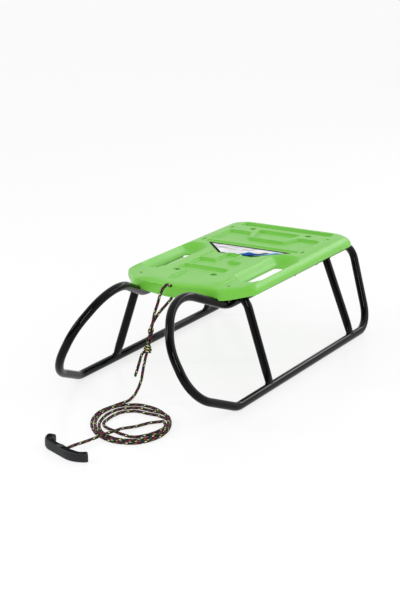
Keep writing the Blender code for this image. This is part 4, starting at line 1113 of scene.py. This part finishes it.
def coilPoint(turns):
    angle = coil["start"] + 2 * pi * turns
    across, fromAxis = angle - coil["axis"], angle - coil["pitchAxis"]
    long, short = coil["long"], coil["short"]
    radius = long * short / sqrt((short * cos(across)) ** 2 + (long * sin(across)) ** 2)
    mean, front, left, longWay = coil["pitch"]
    wide = mean + front * cos(fromAxis) + left * sin(fromAxis) + longWay * cos(2 * fromAxis)
    radius -= turnPitch(angle, coil["firstPitch"]) * min(turns, 1.0) + turnPitch(angle, wide) * max(turns - 1.0, 0.0)
    begin, full, leaves, end = (radians(a) for a in coil["bightAngles"])
    last = angle - 6 * pi
    drawnIn, letOut = smoothstep((last - begin) / (full - begin)), smoothstep((last - leaves) / (end - leaves))
    radius -= coil["bight"] * (drawnIn - letOut)
    onTop = round((angle - coil["climbMiddle"]) / (2 * pi)) % 2 == 0
    height = rope["width"] / 2 + (coil["climb"] * climbShare(angle) if onTop else 0.0)
    return Vector((coil["centre"][0] + radius * cos(angle), coil["centre"][1] + radius * sin(angle), height))


def evenly(points, spacing):
    total = sum((q - p).length for p, q in zip(points, points[1:]))
    count = max(3, round(total / spacing))
    found, travelled, want = [points[0]], 0.0, total / count
    for p, q in zip(points, points[1:]):
        step = (q - p).length
        while travelled + step >= want * len(found) - 1e-9 and len(found) < count:
            found.append(p.lerp(q, (want * len(found) - travelled) / step))
        travelled += step
    return found + [points[-1]]


def flowing(route):
    knots = [Vector(p) + Vector((0, 0, rope["lift"])) for p in route]
    ends = [2 * knots[0] - knots[1]] + knots + [2 * knots[-1] - knots[-2]]
    fine = []
    for a, b, c, d in zip(ends, ends[1:], ends[2:], ends[3:]):
        for k in range(16):
            t = k / 16
            fine.append(0.5 * (2 * b + (c - a) * t + (2 * a - 5 * b + 4 * c - d) * t * t
                               + (3 * b - a - 3 * c + d) * t * t * t))
    return fine + [knots[-1]]


# the weave stands out of the rope's skin: one strand over, the other under
def weave(u, length):
    strands = braid["strands"]
    one, other = u * strands + length * strands / braid["pitch"], u * strands - length * strands / braid["pitch"]
    top = (floor(one) + floor(other)) % 2
    across, lengthways = (one % 1, other % 1) if top == 0 else (other % 1, one % 1)
    crown = sqrt(max(0.0, 1 - (2 * across - 1) ** 2)) * 0.6 + sin(pi * lengthways) * 0.4
    return rope["width"] / 2 - braid["relief"] * (1 - crown)


def ropePiece(name, fine, closeTip=False):
    path = evenly(fine, rope["spacing"])
    tip = len(path) - 1
    narrowed = dict(zip((tip - 1, tip), rope["tip"])) if closeTip else {}
    item = sweep(name, path, None, "braided_rope", rope["sides"], angle=70,
                 shape=lambda u, length, i: weave(u, length) * narrowed.get(i, 1))
    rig.ride(item, "root")
    length = sum((q - p).length for p, q in zip(path, path[1:]))
    print("%s is %.3f m long" % (name, length))
    return item, path, length


grip = {"middle": (0.0150, -0.6255), "turn": radians(-23), "straight": 0.052, "endBend": 0.040,
        "endAngle": radians(62), "width": 0.0180, "height": 0.0170, "groove": 0.0026, "grooves": 4, "bore": 0.0068,
        "stopperZ": 0.0085, "pocket": 0.0100, "squareness": 0.36, "sections": 96, "around": 40, "floor": 0.0035,
        "outerWall": 0.0034, "innerWall": 0.0022, "endWall": 0.0034, "block": 0.0072, "ribPitch": 0.0062,
        "ribThick": 0.0016, "ribTop": 0.0140, "ribOver": 0.001, "cutTop": 0.03, "endRound": (0.004, 0.0008),
        "mouth": 0.018, "cutFoot": -0.005, "pocketOver": 0.004, "ropeIn": (0.020, 0.0055)}
gripHalf = grip["straight"] / 2 + grip["endBend"] * grip["endAngle"]
gripCells = ((-gripHalf + grip["endWall"], -grip["block"]), (grip["block"], gripHalf - grip["endWall"]))


def gripFrame(distance):
    half = grip["straight"] / 2
    side = 1 if distance > 0 else -1
    angle = max(0.0, abs(distance) - half) / grip["endBend"]
    across = min(abs(distance), half) + grip["endBend"] * sin(angle)
    turn = Matrix.Rotation(grip["turn"], 2)
    centre = Vector(grip["middle"]) + turn @ Vector((side * across, grip["endBend"] * (1 - cos(angle))))
    return centre, turn @ Vector((-side * sin(angle), cos(angle)))


def gripGroove(distance):
    return grip["groove"] * (0.5 - 0.5 * cos(pi * (distance + gripHalf) / gripHalf * grip["grooves"]))


# the hollow between the grip's two walls, open above
def gripCell(low, high):
    rings = []
    floorZ, topZ = grip["floor"], grip["cutTop"]
    for distance in ramp(low, high, 24):
        centre, inner = gripFrame(distance)
        outside = -grip["width"] / 2 + grip["outerWall"]
        inside = grip["width"] / 2 - grip["innerWall"] - gripGroove(distance)
        rings.append([Vector((*(centre + inner * x), z)) for x, z in
                      ((outside, floorZ), (inside, floorZ), (inside, topZ), (outside, topZ))])
    return loft("gripCell", rings)


def addGrip():
    rings, (endLength, endDrop) = [], grip["endRound"]
    for distance in ramp(-gripHalf, gripHalf, grip["sections"]):
        centre, inner = gripFrame(distance)
        end = smoothstep((abs(distance) - gripHalf + endLength) / endLength)
        groove = gripGroove(distance)
        wide, tall = grip["width"] / 2 - endDrop * end, grip["height"] / 2 - endDrop * end
        ring = []
        for k in range(grip["around"]):
            turn = 2 * pi * (k + 0.5) / grip["around"]
            c, s = cos(turn), sin(turn)
            x = wide * abs(c) ** grip["squareness"] * (1 if c > 0 else -1)
            z = tall * abs(s) ** grip["squareness"] * (1 if s > 0 else -1)
            if x > 0:
                x -= groove * smoothstep(x / wide)
            ring.append(Vector((*(centre + inner * x), grip["height"] / 2 + z)))
        rings.append(ring)
    bar = loft("pullGrip", rings, "black_grip", 50)
    centre, inner = gripFrame(0.0)
    middle = Vector((*centre, grip["stopperZ"]))
    mouth = Vector((*(centre + inner * grip["mouth"]), grip["stopperZ"]))
    cuts = gather("gripCuts", [rodCutter("gripBore", grip["bore"], middle, mouth),
                               rodCutter("gripPocket", grip["pocket"], (*centre, grip["cutFoot"]),
                                         (*centre, grip["stopperZ"] + grip["pocketOver"]), 40)]
                  + [gripCell(low, high) for low, high in gripCells])
    combine(bar, "DIFFERENCE", cuts)
    settled(bar)
    discard(cuts)
    bar.data.shade_smooth()
    bar.data.set_sharp_from_angle(angle=radians(50))
    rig.ride(bar, "root")
    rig.replaces(bar, "pull_handle")
    return bar, middle, inner


# thin moulded ribs across the grip's hollow, one every few millimetres
def ribsAcross(given, add):
    turn = add("FunctionNodeAlignRotationToVector", {"Vector": add("GeometryNodeInputTangent")}, axis="X")
    return {"Points": pointsAlong(given, add), "Instance": add("GeometryNodeMeshCube", {"Size": (1.0, 1.0, 1.0)}),
            "Rotation": turn, "Scale": given["Rib size"]}


def addGripRibs():
    tree = repeatTree("gripRibs", [("Pitch", "Float"), ("Rib size", "Vector")], ribsAcross)
    form = bmesh.new()
    middleZ = (grip["floor"] + grip["ribTop"]) / 2
    for low, high in gripCells:
        points = []
        for distance in ramp(low, high, 40):
            centre, inner = gripFrame(distance)
            at = centre + inner * ((grip["outerWall"] - grip["innerWall"] - gripGroove(distance)) / 2)
            points.append((*at, middleZ))
        chain(form, points)
    ribsItem = fromForm("gripRibs", form, "black_grip")
    ribSize = (grip["ribThick"], grip["width"] - grip["outerWall"] - grip["innerWall"],
               grip["ribTop"] - grip["floor"] + grip["ribOver"])
    runTree(ribsItem, tree, {"Pitch": grip["ribPitch"], "Rib size": ribSize, "Finish": paints["black_grip"]})
    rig.ride(ribsItem, "root")
    return ribsItem


def addRope():
    knotAt, twistTop = Vector(rope["knotAt"]), Vector(rope["twistTop"])
    down = (knotAt - twistTop).normalized()
    across = down.cross(Vector((0, 1, 0))).normalized()
    other = down.cross(across)
    span = (knotAt - twistTop).length - rope["knotInto"]

    def twisted(half):
        points = []
        for t in ramp(0, 1, 40):
            turn = 2 * pi * t * span / rope["twistTurn"] + (0 if half > 0 else pi)
            offset = across * cos(turn) + other * sin(turn)
            points.append(twistTop + down * span * t + offset * (rope["width"] / 2 + rope["twistGap"]))
        return points

    def fromKnot(route):
        return [knotAt + (Vector(route[0]) - knotAt).normalized() * rope["knotInto"]] + route

    # the knot: two turns round the strands and one that crosses over them
    wraps, (near, swell), (high, wave) = [], rope["knotReach"], rope["knotRise"]
    for t in ramp(0, 1, 96):
        turn = 2 * pi * rope["knotTurns"] * t
        reach = near + swell * sin(pi * t)
        rise = high - 2 * high * t + wave * sin(turn)
        wraps.append(knotAt - down * rise + (across * cos(turn) + other * sin(turn)) * reach)
    knot, _, _ = ropePiece("ropeKnot", wraps, closeTip=True)
    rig.replaces(knot, "rope_knot")
    hole = Vector(holeRoute[1])
    front = flowing([hole, holeRoute[0]] + frontRoute + twisted(1)[4::6])
    frontPiece, frontPath, frontLength = ropePiece("bridleFrontStrand", front)
    back = flowing([hole, holeRoute[2]] + backRoute + twisted(-1)[4::6])
    backPiece, backPath, backLength = ropePiece("bridleBackStrand", back)
    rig.replaces(frontPiece, "rope_bridle", "rope_twist")
    count = round(coil["turns"] * 90)
    loops = [coilPoint(coil["turns"] * k / count) for k in range(count + 1)]
    leaves = Matrix.Rotation(coil["endTurn"], 3, "Z") @ (loops[-1] - loops[-2]).normalized()
    joined = flowing(fromKnot(leadRoute) + loops[1::6] + [loops[-1] + leaves * rope["coilOff"]] + runRoute[1:])
    bar, middle, inner = addGrip()
    ribsItem = addGripRibs()
    inner = Vector((*inner, 0))
    joined += [middle + inner * away for away in grip["ropeIn"]]
    pull, pullPath, pullLength = ropePiece("pullRope", joined)
    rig.replaces(pull, "rope_lead", "rope_coil", "rope_handle_run")
    tailPiece, tailPath, tailLength = ropePiece("ropeTail", flowing(fromKnot(tailRoute)), closeTip=True)
    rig.replaces(tailPiece, "rope_tail")
    stopWraps, reach = [], rope["stopReach"]
    for t in ramp(0, 1, 64):
        turn = 2 * pi * rope["stopTurns"] * t
        stopWraps.append(middle + Vector((cos(turn) * reach, sin(turn) * reach, rope["stopRise"] * (2 * t - 1))))
    stopper, _, _ = ropePiece("ropeStopper", stopWraps, closeTip=True)
    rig.replaces(stopper, "rope_stopper")
    width = rope["width"]
    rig.cord(frontPiece, frontPath[0], frontLength, width, "knot", "limp", "taut", frontPath, [knot])
    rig.cord(backPiece, backPath[0], backLength, width, "knot", "limp", "taut", backPath)
    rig.cord(tailPiece, tailPath[0], tailLength, width, "bare", "limp", "hanging", tailPath)
    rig.cord(pull, pullPath[0], pullLength, width, "fitting", "limp", "coiled", pullPath, [bar, ribsItem, stopper])


addRope()
print("rope and grip made")


# ---- floor, backdrop and light

studio = {"floor": 12.0, "fill": 0.76, "shine": 1.0, "frontShine": 0.06, "dusk": (-0.75, 0.10), "white": 0.75,
          "drop": 0.0002, "aimZ": 0.1}


def addFloor():
    form = bmesh.new()
    bmesh.ops.create_grid(form, x_segments=1, y_segments=1, size=studio["floor"])
    floorItem = fromForm("floor", form)
    floorItem.data.transform(Matrix.Translation((0, 0, -studio["drop"])))
    paint = Paint(bpy.data.materials.new("studioFloor"))
    paint.set(Base_Color=(0.95, 0.95, 0.95), Roughness=0.28, Specular_IOR_Level=0.30)
    glow = paint.node("ShaderNodeEmission", None, {"Color": (1, 1, 1), "Strength": 1.0})
    seen = paint.node("ShaderNodeLightPath")
    shiny = paint.node("ShaderNodeLightPath", out="Is Glossy Ray")
    shaded = Wire(paint, paint.shader.outputs[0])
    mixed = paint.node("ShaderNodeMixShader", None, [seen.maths("MAXIMUM", shiny) * studio["white"], shaded, glow])
    paint.tree.links.new(mixed.socket, paint.tree.nodes["Material Output"].inputs["Surface"])
    floorItem.data.materials.append(paint.owner)
    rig.stage(floorItem)


# white all round for the camera; what shines sees a darker room behind the camera
def addWorld():
    scene.world = bpy.data.worlds.new("studio")
    sky = Paint(scene.world, "Background")
    seen, shiny = (sky.node("ShaderNodeLightPath", out=name) for name in ("Is Camera Ray", "Is Glossy Ray"))
    ahead = sky.axes(sky.node("ShaderNodeTexCoord", out="Generated"))[1]
    shine = ahead.rise(*studio["dusk"]) * (studio["shine"] - studio["frontShine"]) + studio["frontShine"]
    unseen = shiny * (shine - studio["fill"]) + studio["fill"]
    sky.set(Color=(1, 1, 1), Strength=seen * (1 - unseen) + unseen)


# name, place, width, height, watts
lamps = [("backBox", (0.9, 2.3, 1.55), 2.2, 0.42, 13), ("rightBox", (2.3, 1.2, 1.2), 1.2, 1.2, 9),
         ("rightStrip", (1.5, -2.2, 1.2), 0.26, 1.2, 21), ("leftStrip", (-2.0, -1.4, 1.5), 0.26, 1.2, 17)]


def addLamps():
    for name, at, wide, tall, power in lamps:
        data = bpy.data.lights.new(name, "AREA")
        data.shape = "RECTANGLE"
        data.size, data.size_y, data.energy = wide, tall, power
        lamp = bpy.data.objects.new(name, data)
        lamp.location = at
        lamp.rotation_euler = (Vector(at) - Vector((0, 0, studio["aimZ"]))).to_track_quat("Z", "Y").to_euler()
        scene.collection.objects.link(lamp)


addFloor()
addWorld()
addLamps()

newBox = [list(corner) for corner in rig.bounds()]
json.dump({"cad": cadBox, "visual": newBox}, open("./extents.json", "w"))
